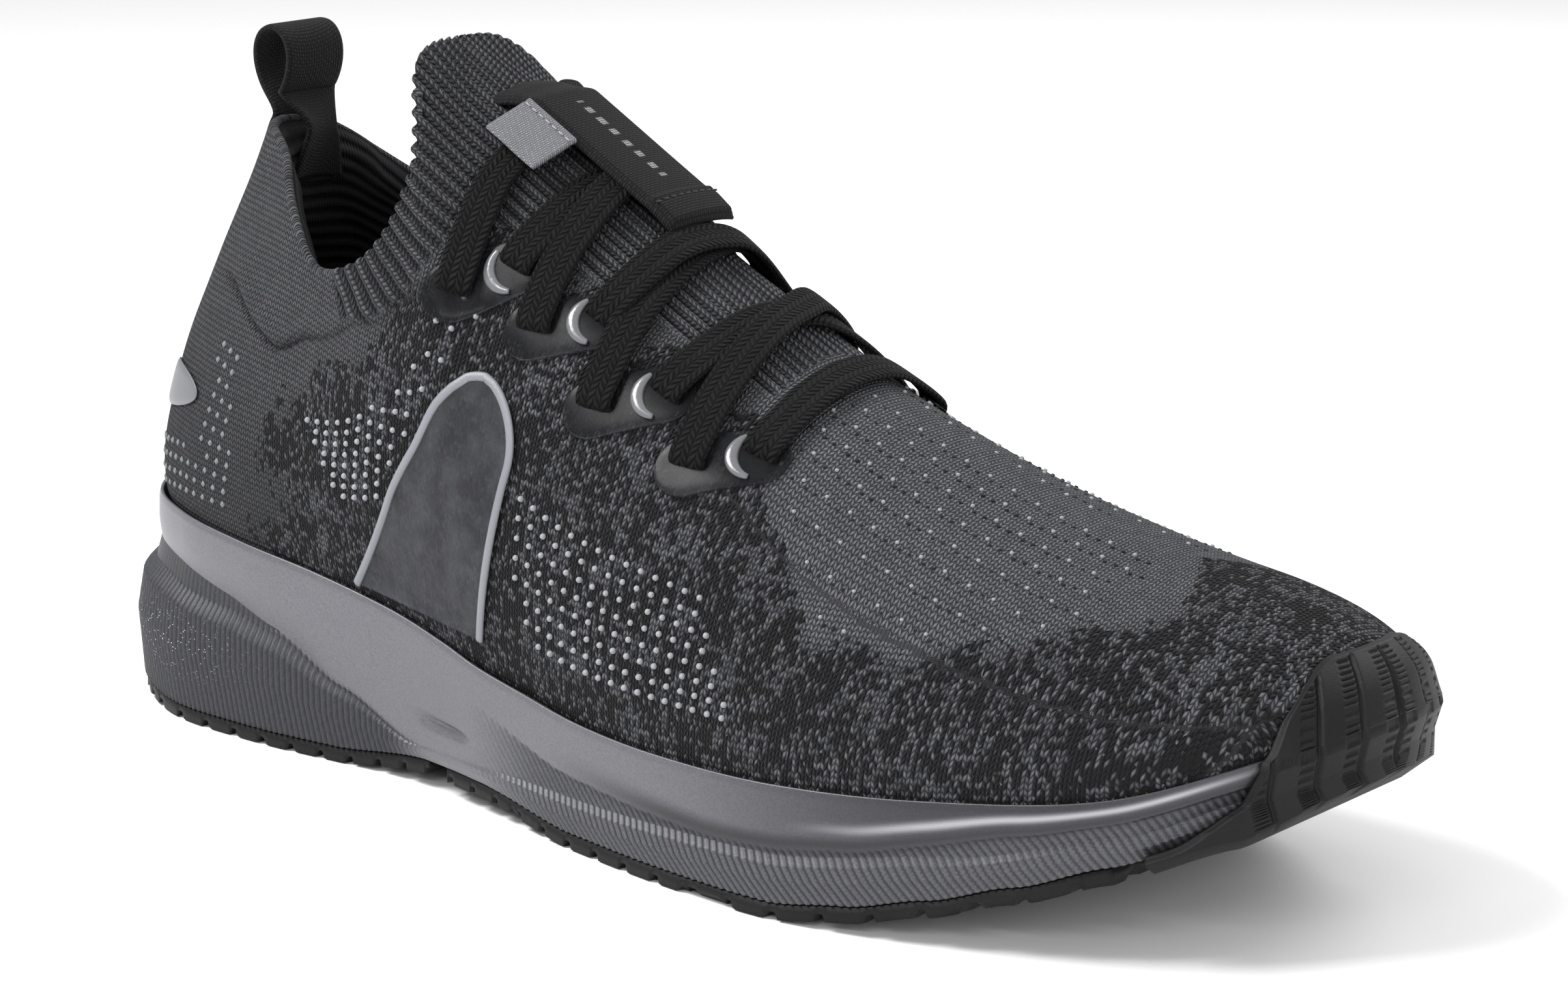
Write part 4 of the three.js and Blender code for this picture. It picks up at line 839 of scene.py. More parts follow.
def rim_rows(us, height):
    """The folded edge of the collar: a round lip from the outer face over to the inner one."""
    u = us[:, None] * np.ones((1, 5))
    top = np.ones_like(u)
    up = unit(wall(u, top) - wall(u, top - 0.05))
    turn = np.linspace(0, math.pi, 7)[1:-1]
    middle = -KNIT / 2 + height[:, None] / 2
    radius = KNIT / 2 + height[:, None] / 2
    lip = wall_normal(u, top) * (middle + radius * np.cos(turn))[..., None]
    lip = lip + up * (1.15 * np.sin(turn))[..., None]
    return wall(u, top) + lip


# ---------------------------------------------------------------- plates and dots laid on the knit

# (station, height) of the low and the high hole of each pair, from the collar to the toe.
EYELET_PAIRS = [
    [(7.44, 0.59), (8.4, 0.65)],
    [(8.6, 0.59), (9.28, 0.69)],
    [(9.27, 0.56), (9.92, 0.66)],
    [(10.17, 0.58), (10.63, 0.68)],
]


def side_of(uv, side):
    """A place on the outer side, or the same place on the inner one."""
    return (uv[0] if side < 0 else RING - uv[0], uv[1])


def one(function, *values):
    """A surface function at one point."""
    return function(*[np.array([v], float) for v in values])[0]


def off_plane(a, n):
    """Vectors without their share along n."""
    return a - n * (a @ n)[..., None]


def uv_near(target, u, v, normal):
    """The (u, v) under each target point, seen along normal, from a start near each."""
    d = 0.01
    for _ in range(12):
        here = wall(u, v)
        du = off_plane((wall(u + d, v) - here) / d, normal)
        dv = off_plane((wall(u, v + d) - here) / d, normal)
        miss = off_plane(target - here, normal)
        uu, uv, vv = (du * du).sum(-1), (du * dv).sum(-1), (dv * dv).sum(-1)
        a, b = (miss * du).sum(-1), (miss * dv).sum(-1)
        det = uu * vv - uv * uv
        u = u + np.clip((a * vv - b * uv) / det, -0.2, 0.2)
        v = v + np.clip((b * uu - a * uv) / det, -0.06, 0.06)
    return u, v


def laid_grid(outline, start, end, ni, nj):
    """(u, v) of a grid laid along the straight line between two points of the wall, with its flat
    coordinates. outline(t, half) gives the distance from the middle and the low and high edges."""
    a, b = one(on_upper, *start, 0), one(on_upper, *end, 0)
    half = np.linalg.norm(b - a) / 2
    normal = unit(one(wall_normal, *start) + one(wall_normal, *end))
    x = unit(off_plane((b - a)[None], normal)[0])
    y = np.cross(normal, x)
    t = np.linspace(-1, 1, ni)
    far, near_edge, far_edge = outline(t, half)
    cross = near_edge[:, None] + (far_edge - near_edge)[:, None] * np.linspace(0, 1, nj)
    target = (a + b) / 2 + x * far[:, None, None] + y * cross[..., None]
    q = np.clip((far / half + 1) / 2, 0, 1)[:, None] * np.ones(nj)
    first_u, first_v = (low + (high - low) * q for low, high in zip(start, end))
    u, v = uv_near(target, first_u, first_v, normal)
    flat = np.stack([far[:, None] + 0 * cross, cross, 0 * cross], -1)
    return u, v, flat


def laid_plate(name, outline, start, end, ni, nj, lift, thick):
    """A thin plate with a rounded edge, laid on the wall from start to end."""
    u, v, flat = laid_grid(outline, start, end, ni, nj)
    i = np.linspace(-1, 1, ni)[:, None]
    j = np.linspace(-1, 1, nj)
    dome = (1 - np.abs(i) ** 8) * (1 - np.abs(j) ** 8)
    outer = on_upper(u, v, lift + thick * (0.25 + 0.75 * dome))
    return slab(name, outer, on_upper(u, v, lift + 0 * u), flat)


def dots(name, places, radius, rise, mat, sides=10):
    """Small raised domes on the wall at the given (u, v)."""
    u, v = np.array(places, float).T
    n = wall_normal(u, v)
    x = unit(np.cross(n, [0, 0, 1.0]))
    y = np.cross(n, x)
    turn = full_turn(sides)
    rings = [(1.0, -0.5), (0.92, 0.45), (0.55, 0.88)]
    points, faces = [], []
    for m, a, b, c in zip(wall(u, v), n, x, y):
        base = len(points)
        around = b * np.cos(turn)[:, None] + c * np.sin(turn)[:, None]
        for size, height in rings:
            points.extend(m + around * radius * size + a * rise * height)
        points.extend([m + a * rise, m - a * rise])
        faces.extend(grid_faces(len(rings), sides, wrap_j=True, offset=base)[:, [0, 3, 2, 1]].tolist())
        tip = base + len(rings) * sides
        for k in range(sides):
            k2 = (k + 1) % sides
            faces.append((tip - sides + k, tip - sides + k2, tip))
            faces.append((base + k2, base + k, tip + 1))
    settle(new_object(name, np.array(points), faces), mat, "film")


BEADS_UNDER = 0.64  # height on the wall that the beads stay below


def quarter_beads(side):
    """Slanted rows of beads behind and above the side panel, and low down in front of it."""
    beads = []
    fields = [((0.62, 0.34, 10), (72, 112), 45), ((0.33, 0.115, 8), (128, 182), 60)]
    for (top, low, rows), (first, last), slant in fields:
        for row, level in enumerate(np.linspace(top, low, rows)):
            shift = slant * (top - level)
            for x in np.arange(first + shift + 1.7 * (row % 2), last + shift, 3.5):
                v = level + 0.0012 * (x - first)
                u = u_at_x(x, v, side)
                t = mirror_u(u)
                rear, front = panel_edges(level)
                beside = level > PANEL["reach"] + 0.02 or not rear - 3 < x < front + 3
                if beside and v < min(along(MELANGE_LINE, t), BEADS_UNDER) - 0.05:
                    beads.append((u, v))
    return beads


def heel_squares(side):
    """Slanted columns of small squares, below the reflector and in front of it."""
    row, column = np.meshgrid(np.arange(12), np.arange(13), indexing="ij")
    t = 0.70 + 0.17 * column + 0.03 * row
    v = 0.07 + 0.045 * row + 0.006 * column
    beside = (v < 0.25) | (t > 2.32)
    inside = beside & (t < 2.95 - 0.02 * row) & (v < 0.60)
    return [side_of(uv, side) for uv in zip(t[inside], v[inside])]


def vamp_lattice(side):
    """Points in diagonal rows over the vamp, one side of the ridge."""
    i, j = np.meshgrid(np.arange(22), np.arange(9), indexing="ij")
    x = 168 + 5.4 * i + 1.9 * j
    y = 6.0 + side * (4.5 + 5.2 * j)
    u = u_at_x(x, 0.8, side, 8.0)
    v = np.full(u.shape, 0.8)
    target = np.stack([x, y, 70 + 0 * x], -1).astype(float)
    u, v = uv_near(target, u, v, np.array([0, 0, 1.0]))
    t = mirror_u(u)
    inside = (v > along(MELANGE_LINE, t) + 0.035) & (t > 10.75) & (x < 246) & (v < 0.97)
    return u[inside], v[inside]


def dot_rows():
    """Beads on the quarter, squares at the heel's rear, and light and dark dots over the vamp."""
    beads, squares, light, dark = [], [], [], []
    for side in (-1, 1):
        beads += quarter_beads(side)
        squares += heel_squares(side)
        u, v = vamp_lattice(side)
        light += list(zip(u, v))
        for step in (0.05, 0.085):
            x = wall(u, v)[:, 0]
            dark += list(zip(u_at_x(x + 60 * (step - 0.03), v - 0.012, side, 8.0), v - 0.012))
    return beads, squares, light, dark


def make_dots():
    beads, squares, light, dark = dot_rows()
    dots("bead_dots", beads, 0.62, 0.7, plain_material("bead_print", (0.34, 0.345, 0.365), 0.45))
    dots("heel_squares", squares, 0.72, 0.45, plain_material("square_print", (0.19, 0.195, 0.21), 0.5), 4)
    dots("vamp_dots", light, 0.45, 0.4, plain_material("vamp_print", (0.30, 0.31, 0.33), 0.5), 6)
    dots("vamp_holes", dark, 0.42, 0.2, plain_material("hole_shade", (0.004, 0.004, 0.005), 0.95), 8)


FILM_RADIUS = 6.2


def capsule(t, half):
    """Outline of a film: straight sides and round ends past both holes."""
    a = (half + FILM_RADIUS) * np.sin(t * math.pi / 2)
    past = np.maximum(0, np.abs(a) - half) / FILM_RADIUS
    wide = FILM_RADIUS * np.sqrt(np.maximum(0.03, 1 - past * past))
    return a, -wide, wide


def make_films(mat, painted_highlight):
    """A clear film round each pair of eyelets, with a moulded crescent at the upper one, coloured light as
    a painted highlight.
    """
    for label, side in SIDES:
        for k, pair in enumerate(EYELET_PAIRS, 1):
            low, high = (side_of(hole, side) for hole in pair)
            film = laid_plate(f"film_{label}_{k}", capsule, low, high, 44, 22, 0.5, 0.4)
            settle(film, mat, "film", f"eyelet_film_{label}_{k}")
            settle(eyelet_rim(f"rim_{label}_{k}", high, low), painted_highlight, "film")


def eyelet_rim(name, hole, other):
    """The moulded crescent round the foot side of an upper hole."""
    n = one(wall_normal, *hole)
    middle = one(on_upper, *hole, 0)
    down = one(on_upper, *other, 0) - middle
    down = unit(down - n * (down @ n))
    beside = np.cross(n, down)
    count = 30
    turn = np.linspace(-1.15, 1.15, count)
    target = middle + 4.9 * (down * np.cos(turn)[:, None] + beside * np.sin(turn)[:, None])
    u, v = uv_near(target, np.full(count, float(hole[0])), np.full(count, float(hole[1])), n)
    wide = 1.05 * np.cos(turn * 1.1)[:, None, None] + 0.25
    return tube(name, on_upper(u, v, np.full(count, 1.0)), wall_normal(u, v), wide, 0.4)


# The side panel: its lowest and highest place on the wall, its middle's X at the foot, how far its top
# leans forward, half its width at the foot and at the top, and where its round end begins.
PANEL = {"low": 0.085, "reach": 0.47, "foot": 106, "lean": 14, "half_foot": 19, "half_top": 13,
         "round": 0.72}


def panel_edges(v):
    """X of the side panel's rear and front edges at height v of the wall."""
    a = (v - PANEL["low"]) / (PANEL["reach"] - PANEL["low"])
    over = np.clip((a - PANEL["round"]) / (1 - PANEL["round"]), 0, 1)
    half = PANEL["half_foot"] + (PANEL["half_top"] - PANEL["half_foot"]) * a
    half = half * np.sqrt(1.02 - over ** 2)
    middle = PANEL["foot"] + PANEL["lean"] * a
    return middle - half, middle + half


def make_panels():
    """The slanted side panels: a translucent film with a light raised piping round its edge."""
    film = film_material("panel_film", (0.075, 0.077, 0.087), 0.45, 0.42, 0.00012)
    piping = plain_material("panel_piping", (0.24, 0.245, 0.27), 0.4, 0.00008, 3.0)
    across = np.linspace(0, 1, 40)
    for label, side in SIDES:
        v = np.linspace(PANEL["low"], PANEL["reach"], 90)[:, None] + 0 * across
        rear, front = panel_edges(v)
        u = u_at_x(rear + (front - rear) * across, v, side)
        panel = slab(f"panel_{label}", on_upper(u, v, 0.85 + 0 * u), on_upper(u, v, 0.3 + 0 * u))
        settle(panel, film, "side_panel", f"side_panel_{label}")
        eu, ev = (np.concatenate([a[:, 0], a[-1, 1:-1], a[::-1, -1]]) for a in (u, v))
        line = on_upper(eu, ev, np.full(len(eu), 0.75))
        cord = tube(f"piping_{label}", line, wall_normal(eu, ev), 0.95, 0.5)
        settle(cord, piping, "side_panel")


def tube(name, line, face, half_wide, half_thick, sides=8):
    """A flattened cord along a line of points lying on a surface whose normals are face."""
    ahead = unit(np.gradient(line, axis=0))
    across = unit(np.cross(ahead, face))
    up = np.cross(across, ahead)
    turn = full_turn(sides)
    rings = (line[:, None] + across[:, None] * half_wide * np.cos(turn)[None, :, None]
             + up[:, None] * half_thick * np.sin(turn)[None, :, None])
    return capped(name, rings)


def capped(name, rings, mm=None):
    """A closed body through rings of points, with a fan of faces at each end."""
    ni, nj = rings.shape[:2]
    points = np.concatenate([rings.reshape(-1, 3), rings[0].mean(0)[None], rings[-1].mean(0)[None]])
    faces = grid_faces(ni, nj, False, True).tolist()
    for k in range(nj):
        faces.append([k, (k + 1) % nj, ni * nj])
        faces.append([(ni - 1) * nj + (k + 1) % nj, (ni - 1) * nj + k, ni * nj + 1])
    attributes = None
    if mm is not None:
        flat = mm.reshape(-1, 3)
        attributes = {"mm": np.concatenate([flat, flat[:1], flat[-1:]])}
    return face_out(new_object(name, points, faces, attributes))


def oval(t, half):
    """Outline of a heel patch: an oval, narrower to the front."""
    wide = 4.6 * np.sqrt(1.02 - t * t) * (1 - 0.25 * t)
    return half * t, -wide, wide


def make_reflectors():
    mat = plain_material("reflective_print", (0.17, 0.172, 0.185), 0.35, 0.00006, 6.0, 0.2)
    for label, side in SIDES:
        rear, front = side_of((0.8, 0.36), side), side_of((2.1, 0.4), side)
        patch = laid_plate(f"reflector_{label}", oval, rear, front, 40, 18, 0.3, 0.4)
        settle(patch, mat, "reflector", f"heel_reflector_{label}")


# ---------------------------------------------------------------- collar lining and insole

RIB_ROLL = 3.1  # pitch of the lining's ribs


def make_lining():
    """The padded collar: a soft roll under the rim, ribbed round the ankle, thin at both ends."""
    us = np.linspace(-5, 5, 300)
    vs = np.concatenate([np.linspace(0, 0.5, 30, endpoint=False), np.linspace(0.5, 1, 110)])
    u, v = np.meshgrid(us, vs, indexing="ij")
    p = wall(u, v)
    girth = running(p, axis=1)
    below = girth[:, -1:] - girth
    ends = 1 - smooth(np.abs(u), 4.4, 5)
    under_rim = 1 - smooth(v, 0.9, 1.0)
    full = ends * (2.4 * (1 - smooth(v, 0.95, 1.0)) + 1.7 * smooth(v, 0.4, 0.8) * under_rim)
    ribs = 0.55 * ends * np.abs(np.sin(np.pi * below / RIB_ROLL)) * smooth(v, 0.45, 0.6)
    creases = np.sin(u * 5.1 + np.sin(below * 0.3) * 1.4) * smooth(v, 0.5, 0.8) * under_rim
    inner = on_upper(u, v, -2.25 - full - ribs + 0.35 * ends * creases)
    flat = np.stack([running(p), below, 0 * below], -1)
    lining = slab("collar_roll", on_upper(u, v, -2.1 + 0 * u), inner, flat)
    mat = ribbed_material("lining_knit", (0.004, 0.004, 0.0045), (0.017, 0.017, 0.019), RIB_ROLL)
    settle(lining, mat, "lining", "collar_lining", "collar_foam_outer", "collar_foam_inner")


# What plain_material makes for each CAD node that stays in view or lies inside.
FINISHES = {
    "heel_counter": ("stiffener_felt", (0.48, 0.45, 0.40), 0.8),
    "toe_puff": ("puff_felt", (0.48, 0.45, 0.40), 0.8),
    "strobel_board": ("board_fleece", (0.66, 0.65, 0.61), 0.95, 0.0003, 1.2),
    "sockliner_foam": ("liner_foam", (0.045, 0.046, 0.052), 0.9, 0.0002, 2.5),
    "sockliner_cover": ("liner_cloth", (0.014, 0.014, 0.016), 0.95, 0.0002, 3.5),
    "midsole_core": ("core_foam", (0.62, 0.62, 0.62), 0.85, 0.0002, 1.5),
    "lace_tip_outer": ("tip_outer_plastic", (0.006, 0.006, 0.007), 0.25, 0.00003),
    "lace_tip_inner": ("tip_inner_plastic", (0.006, 0.006, 0.007), 0.25, 0.00003),
}


def dress_frame():
    for name, finish in FINISHES.items():
        give(NODES[name], plain_material(*finish))


# ---------------------------------------------------------------- midsole and outsole

def skin_profile(u):
    """The outer profile of the midsole skin at each station: six (out, z) from the rim down."""
    foot = control_at(0, u)
    x = foot[..., 0]
    rim = foot[..., 2] + 3
    bottom = along(GROUND, x) + RUBBER + FIT
    ledge = np.minimum(np.maximum(along(LEDGE, x), bottom + 1), rim - 2)
    flare = along(FLARE_OUT, x)
    waist = along(LEDGE_OUT, x)
    out = [RIM_OUT - 0.2 + 0 * x, RIM_OUT + 0.1 + 0 * x, waist, waist + (flare - waist) * 0.75, flare,
           flare - 0.9]
    deep = ledge - bottom
    z = [rim, rim - 1.2, ledge, ledge - deep * 0.2, ledge - deep * 0.5, bottom]
    return np.stack(out, -1), np.stack(z, -1)


def spread(values, at):
    """Linear values between the last axis' entries, at fractional positions."""
    i = np.minimum(np.floor(at).astype(int), values.shape[-1] - 2)
    f = at - i
    return values[..., i] * (1 - f) + values[..., i + 1] * f


# How far up the forefoot's ribs reach, as a share of the skin's height at each X.
BAND_TOP = [[120, 0.70], [150, 0.52], [190, 0.42], [220, 0.48], [250, 0.62], [290, 0.68]]
SKIN_WALL = 1.9
HEEL_RIB, FORE_RIB = 1.5, 1.8  # pitches of the skin's ribs
SKIN_LIP = np.array([[1.4, 2.9], [0.95, 1.2], [0.4, -1]])  # [out, up] of the inner face below the rim


def make_skin():
    """The midsole's skin: smooth above, with fine ribs on the heel's flare and low on the forefoot, and
    masks for painted shade, a painted highlight and painted glints.
    """
    count = 2000
    us = np.arange(count) * RING / count
    steps = [5, 22, 9, 12]  # rows between one point of the profile and the next
    at = np.concatenate([np.linspace(i, i + 1, rows, endpoint=False) for i, rows in enumerate(steps)]
                        + [np.linspace(4, 5, 14)])
    out, z = skin_profile(us)
    h = spread(z, at)
    foot = control_at(0, us)
    run = np.cumsum(np.linalg.norm(np.roll(foot, -1, 0) - foot, axis=-1))[:, None] + 0 * h
    x = foot[:, :1] + 0 * h
    share = (h - z[:, 5:]) / (z[:, :1] - z[:, 5:])
    above = share - along(BAND_TOP, x)
    heel = smooth(at, 1.98, 2.25) * (1 - smooth(x, 92, 108))
    band = smooth(x, 118, 150) * (1 - smooth(x, 286, 296)) * smooth(-above, -0.015, 0.015)
    wave_heel = np.cos(2 * np.pi * (run + (h - 16) * 0.12) / HEEL_RIB)
    wave_fore = np.cos(2 * np.pi * (run + h * 0.75) / FORE_RIB)
    # Painted shade: this mask darkens the ribs' furrows.
    furrow = heel * smooth(-wave_heel, -0.2, 0.9) + band * smooth(-wave_fore, -0.1, 0.9)
    # Painted glints in one patch low on the outer side of the heel's flare.
    glint_mask = heel * bell(x, 30, 20) * bell(h, 17, 6) * (run < run.max() / 2)
    # Painted highlight: a light streak along the forefoot band near the toe.
    painted_highlight = 0.6 * bell(above, 0.21, 0.04) * smooth(x, 205, 240) * (1 - smooth(x, 272, 288))
    # Painted shade over the smooth band above the forefoot's ribs, growing toward the toe.
    shade = np.maximum(0.85 * bell(above, 0.07, 0.11) * smooth(x, 140, 185),
                       0.78 * smooth(x, 165, 240) * smooth(above, 0, 0.05))
    ribs = heel * 0.22 * wave_heel + band * (0.24 * wave_fore - 0.22)
    step = -0.45 * heel * (1 - smooth(at, 2.3, 2.9))
    bulge = 0.5 * np.sin(np.pi * np.clip(at - 1, 0, 1)) * (1 - 0.5 * band)
    slit = -1.9 * bell(x, 112, 8, 4) * bell(share, 0.33, 0.03)
    around = us[:, None] + 0 * h
    outer = beside_foot(around, spread(out, at) + ribs + step + bulge + slit, h)
    inner_out = np.concatenate([np.repeat(SKIN_LIP[None, :, 0], count, 0), out[:, 3:] - SKIN_WALL], axis=1)
    inner_z = np.concatenate([foot[:, 2:] + SKIN_LIP[None, :, 1], z[:, 3:]], axis=1)
    inner_at = np.linspace(0, 5, len(at))
    inner = beside_foot(around, spread(inner_out, inner_at), spread(inner_z, inner_at))
    skin = slab("midsole_shell", outer, inner, np.stack([run, h, 0 * h], -1), wrap_i=True,
                extra={"flare": heel, "band": band, "furrow": furrow, "painted_glints": glint_mask,
                       "painted_highlight": painted_highlight, "shade": shade})
    settle(skin, skin_material(), "midsole_skin", "midsole_skin")


def pad_grooves(x, y):
    """Depth of the tread's grooves, from 0 on the lugs to 1 at the bottom of a groove."""
    bars = np.abs(((x + 0.10 * y * np.sin(x * 0.03)) / 8.4) % 1 - 0.5)
    wave = np.abs(((y + 2.2 * np.sin(x * 0.16)) / 12.5) % 1 - 0.5)
    return np.maximum(1 - smooth(bars, 0.09, 0.15), 1 - smooth(wave, 0.05, 0.09))


def make_pad(name, node, stations, across, mat):
    """A pad of the outsole between two stations, over a share of the shoe's width."""
    us = np.linspace(*stations)
    ts = np.linspace(*across, 56)
    x = control_at(0, us)[:, 0]
    out = along(FLARE_OUT, x) - 1.2
    a = beside_foot(us, out, np.zeros(len(us)))
    b = beside_foot(RING - us, out, np.zeros(len(us)))
    p = a[:, None] + (b - a)[:, None] * ts[None, :, None]
    edge = np.minimum(ts, 1 - ts)[None] * np.linalg.norm(b - a, axis=-1)[:, None]
    level = along(GROUND, x)[:, None] + 0 * edge
    top, bottom = p.copy(), p.copy()
    top[..., 2] = level + RUBBER
    bottom[..., 2] = level + 1.5 * pad_grooves(p[..., 0], p[..., 1]) + 0.25 * (1 - smooth(edge, 0, 1.6))
    settle(slab(name, top, bottom, p), mat, "outsole_rubber", node)


BUMPER_START = 13.25  # the station where the bumper begins on either side
BUMPER_TOP = 0.5  # its upper edge's height on the wall
BUMPER_OUT, BUMPER_GAP = 1.9, 1.1
STRIP = 8.6  # width of the bumper's raised strips


def bumper_side(us, s, h):
    """Points of the bumper at share s of its climb, from the ground to the top edge on the knit."""
    out, z = skin_profile(us)
    k = np.clip(s / 0.5, 0, 1) * 4
    i = np.minimum(np.floor(k).astype(int), 3)
    f = k - i
    rows = np.arange(len(us))
    o, level = (a[rows, 5 - i] * (1 - f) + a[rows, 4 - i] * f for a in (out, z))
    low = beside_foot(us, np.maximum(o, out[:, 0] - 1) + BUMPER_GAP + h, level)
    t = np.clip((s - 0.5) / 0.5, 0, 1)
    over = on_upper(us, 0.16 + (BUMPER_TOP - 0.16) * t, FIT + 0.2 + h)
    rim = beside_foot(us, out[:, 0] + BUMPER_GAP + h, z[:, 0] + 0.4)
    e = smooth(t, 0, 0.34)[:, None]
    return np.where((s < 0.5)[:, None], low, rim * (1 - e) + over * e)


def bumper_height(s, climb, from_middle):
    """How far the bumper's face stands out: raised strips, with a furrow and a row of teeth on each."""
    strip = ((from_middle + 5.0 * (s - 0.55) ** 2) / STRIP) % 1
    furrow = bell(strip, 0.06, 0.045) + bell(strip, 1.06, 0.045)
    teeth = smooth(np.cos(2 * np.pi * s * 26), 0.1, 0.7) * smooth(0.52 - strip, 0, 0.1)
    inside = smooth(climb - s, 0.03, 0.07) * smooth(climb, 0.3, 0.6)
    carved = 0.75 * furrow + 0.4 * teeth * smooth(strip, 0.1, 0.2) + 0.25 * (1 - strip)
    return BUMPER_OUT * (0.35 + 0.65 * smooth(climb - s, 0, 0.05)) - inside * carved


def make_bumper(mat):
    """The toe pad: flat under the toe, then up over the midsole and onto the knit."""
    ni, nj = 320, 170
    us = np.linspace(BUMPER_START, RING - BUMPER_START, ni)
    t = np.minimum(us - BUMPER_START, RING - BUMPER_START - us) / (TOE - BUMPER_START)
    climb = 0.06 + 0.94 * smooth(t, 0.08, 0.74)
    foot = control_at(0, us)
    edge_out = along(FLARE_OUT, foot[:, 0]) - 1.4
    ring = running(foot)
    from_middle = np.abs(ring - ring[ni // 2])

    def face(rise, height):
        edge = beside_foot(us, edge_out, along(GROUND, foot[:, 0]) + rise)
        middle = (edge + edge[::-1]) / 2
        under = [middle + (edge - middle) * q for q in np.linspace(0, 1, 12, endpoint=False)]
        climbs = [q * climb for q in np.linspace(0, 1, nj)]
        return np.stack(under + [bumper_side(us, s, height(s)) for s in climbs], axis=1)

    outer = face(0, lambda s: bumper_height(s, climb, from_middle))
    inner = face(RUBBER - FIT, lambda s: 0 * s)
    settle(slab("toe_bumper", outer, inner, outer), mat, "outsole_rubber", "outsole_toe")


# ---------------------------------------------------------------- lace

LACE_WIDTH, LACE_THICKNESS, LACE_LIFT = 7.4, 1.5, 2.05
CROSS_LIFT = LACE_THICKNESS + 0.35  # how much higher the upper strand lies where two cross
PASS = 2.1  # how far before and after a hole the lace leaves and reaches the knit
# For each side, the station where an end crosses the rim, and points where it hangs inside.
END_RIM = {
    -1: (6.3, [(87.5, 18, 107), (91, 19.2, 97), (93.2, 20, 86), (93.2, 20, 74)]),
    1: (5.72, [(86, 21.2, 99), (85.3, 20.6, 91), (85, 20, 82), (85, 20, 68)]),
}
# Over the rim: (out, up past the rim, down, quarter turns of the lace's width) from the rim's point.
RIM_PLACES = [(LACE_LIFT, -4, 0, 0), (1.2, 1.8, 0, 0), (-KNIT / 2, 3.3, 0, 0.05),
              (-KNIT - 2.4, 2.8, 1.5, 0.45), (-KNIT - 4.2, 1.6, 7, 0.95)]
HANG_TURN = [0.5, 1, 1.4, math.pi / 2]  # angle of the lace's width at each point where it hangs


def through(uv, heading, in_heading, down):
    """(point, width) pairs that take the lace through a hole, from outside to inside when down."""
    n = one(wall_normal, *uv)
    hole = one(on_upper, *uv, 0)
    outside, inside = (unit(way - n * (way @ n)) for way in (heading, in_heading))
    w, w_in = np.cross(n, outside), np.cross(n, inside)
    if w_in @ w < 0:
        w_in = -w_in
    s = -PASS if down else PASS
    steps = [(outside, s, LACE_LIFT, w), (outside, s * 0.3, LACE_LIFT - PASS * 0.3, w),
             (outside, 0, -KNIT / 2, w), (inside, -s * 0.3, -KNIT - LACE_LIFT + PASS * 0.3, w_in),
             (inside, -s, -KNIT - LACE_LIFT, w_in)]
    knots = [(hole + d * a + n * h, width) for d, a, h, width in steps]
    return knots if down else knots[::-1]


def uv_at_x(x, v, side):
    """The place on the wall at X and height v, over the instep or in front of it."""
    return float(u_at_x(x, v, side, 5.0)), v


def over_instep(a, b, side, lift):
    """Places of the lace between a hole on one side and the next hole on the other."""
    xa, xb = one(wall, *a)[0], one(wall, *b)[0]
    route = [(0.16, 0.74, side, 0), (0.34, 0.9, side, 1), (0.5, 1, side, 1), (0.66, 0.9, -side, 1),
             (0.84, 0.74, -side, 0.4)]
    return [(uv_at_x(xa + (xb - xa) * q, v, s), LACE_LIFT + c * lift) for q, v, s, c in route]


def laid_knots(route, start, end):
    """(point, width) pairs of a lace lying flat on the wall along a route between two points."""
    points = [one(on_upper, *uv, h) for uv, h in route]
    line = [start, *points, end]
    return [(p, unit(np.cross(one(wall_normal, *uv), line[i + 2] - line[i])))
            for i, (p, (uv, _)) in enumerate(zip(points, route))]


def end_route(side):
    """Places of the lace between the last hole of one end and the rim."""
    if side > 0:
        return [((RING - 6.9, 0.72), LACE_LIFT)]
    places = [(109, 0.75, -1, 0.5), (109, 0.9, -1, 0), (109, 1, -1, 0), (108, 0.9, 1, 0), (99, 0.86, 1, 0)]
    return [(uv_at_x(x, v, s), LACE_LIFT + more) for x, v, s, more in places]


def over_rim(side):
    """(point, width) pairs of an end going over the inner rim and down inside the shoe."""
    station, hang = END_RIM[side]
    u = RING - station
    n = one(wall_normal, u, 1)
    rim = one(wall, u, 1)
    w = unit(one(wall, u + 0.05, 1) - one(wall, u - 0.05, 1))
    up = unit(np.cross(w, n))
    if up @ (rim - one(wall, u, 0.9)) < 0:
        up = -up
    w = w * np.sign(w[2])
    knots = []
    for out, past, down, quarters in RIM_PLACES:
        a = quarters * math.pi / 2
        place = rim + n * out + up * past - np.array([0, 0, down])
        knots.append((place, w * math.cos(a) - n * math.sin(a)))
    for p, a in zip(hang, HANG_TURN):
        knots.append((np.array(p, float), np.array([math.sin(a), -math.cos(a), 0])))
    return knots


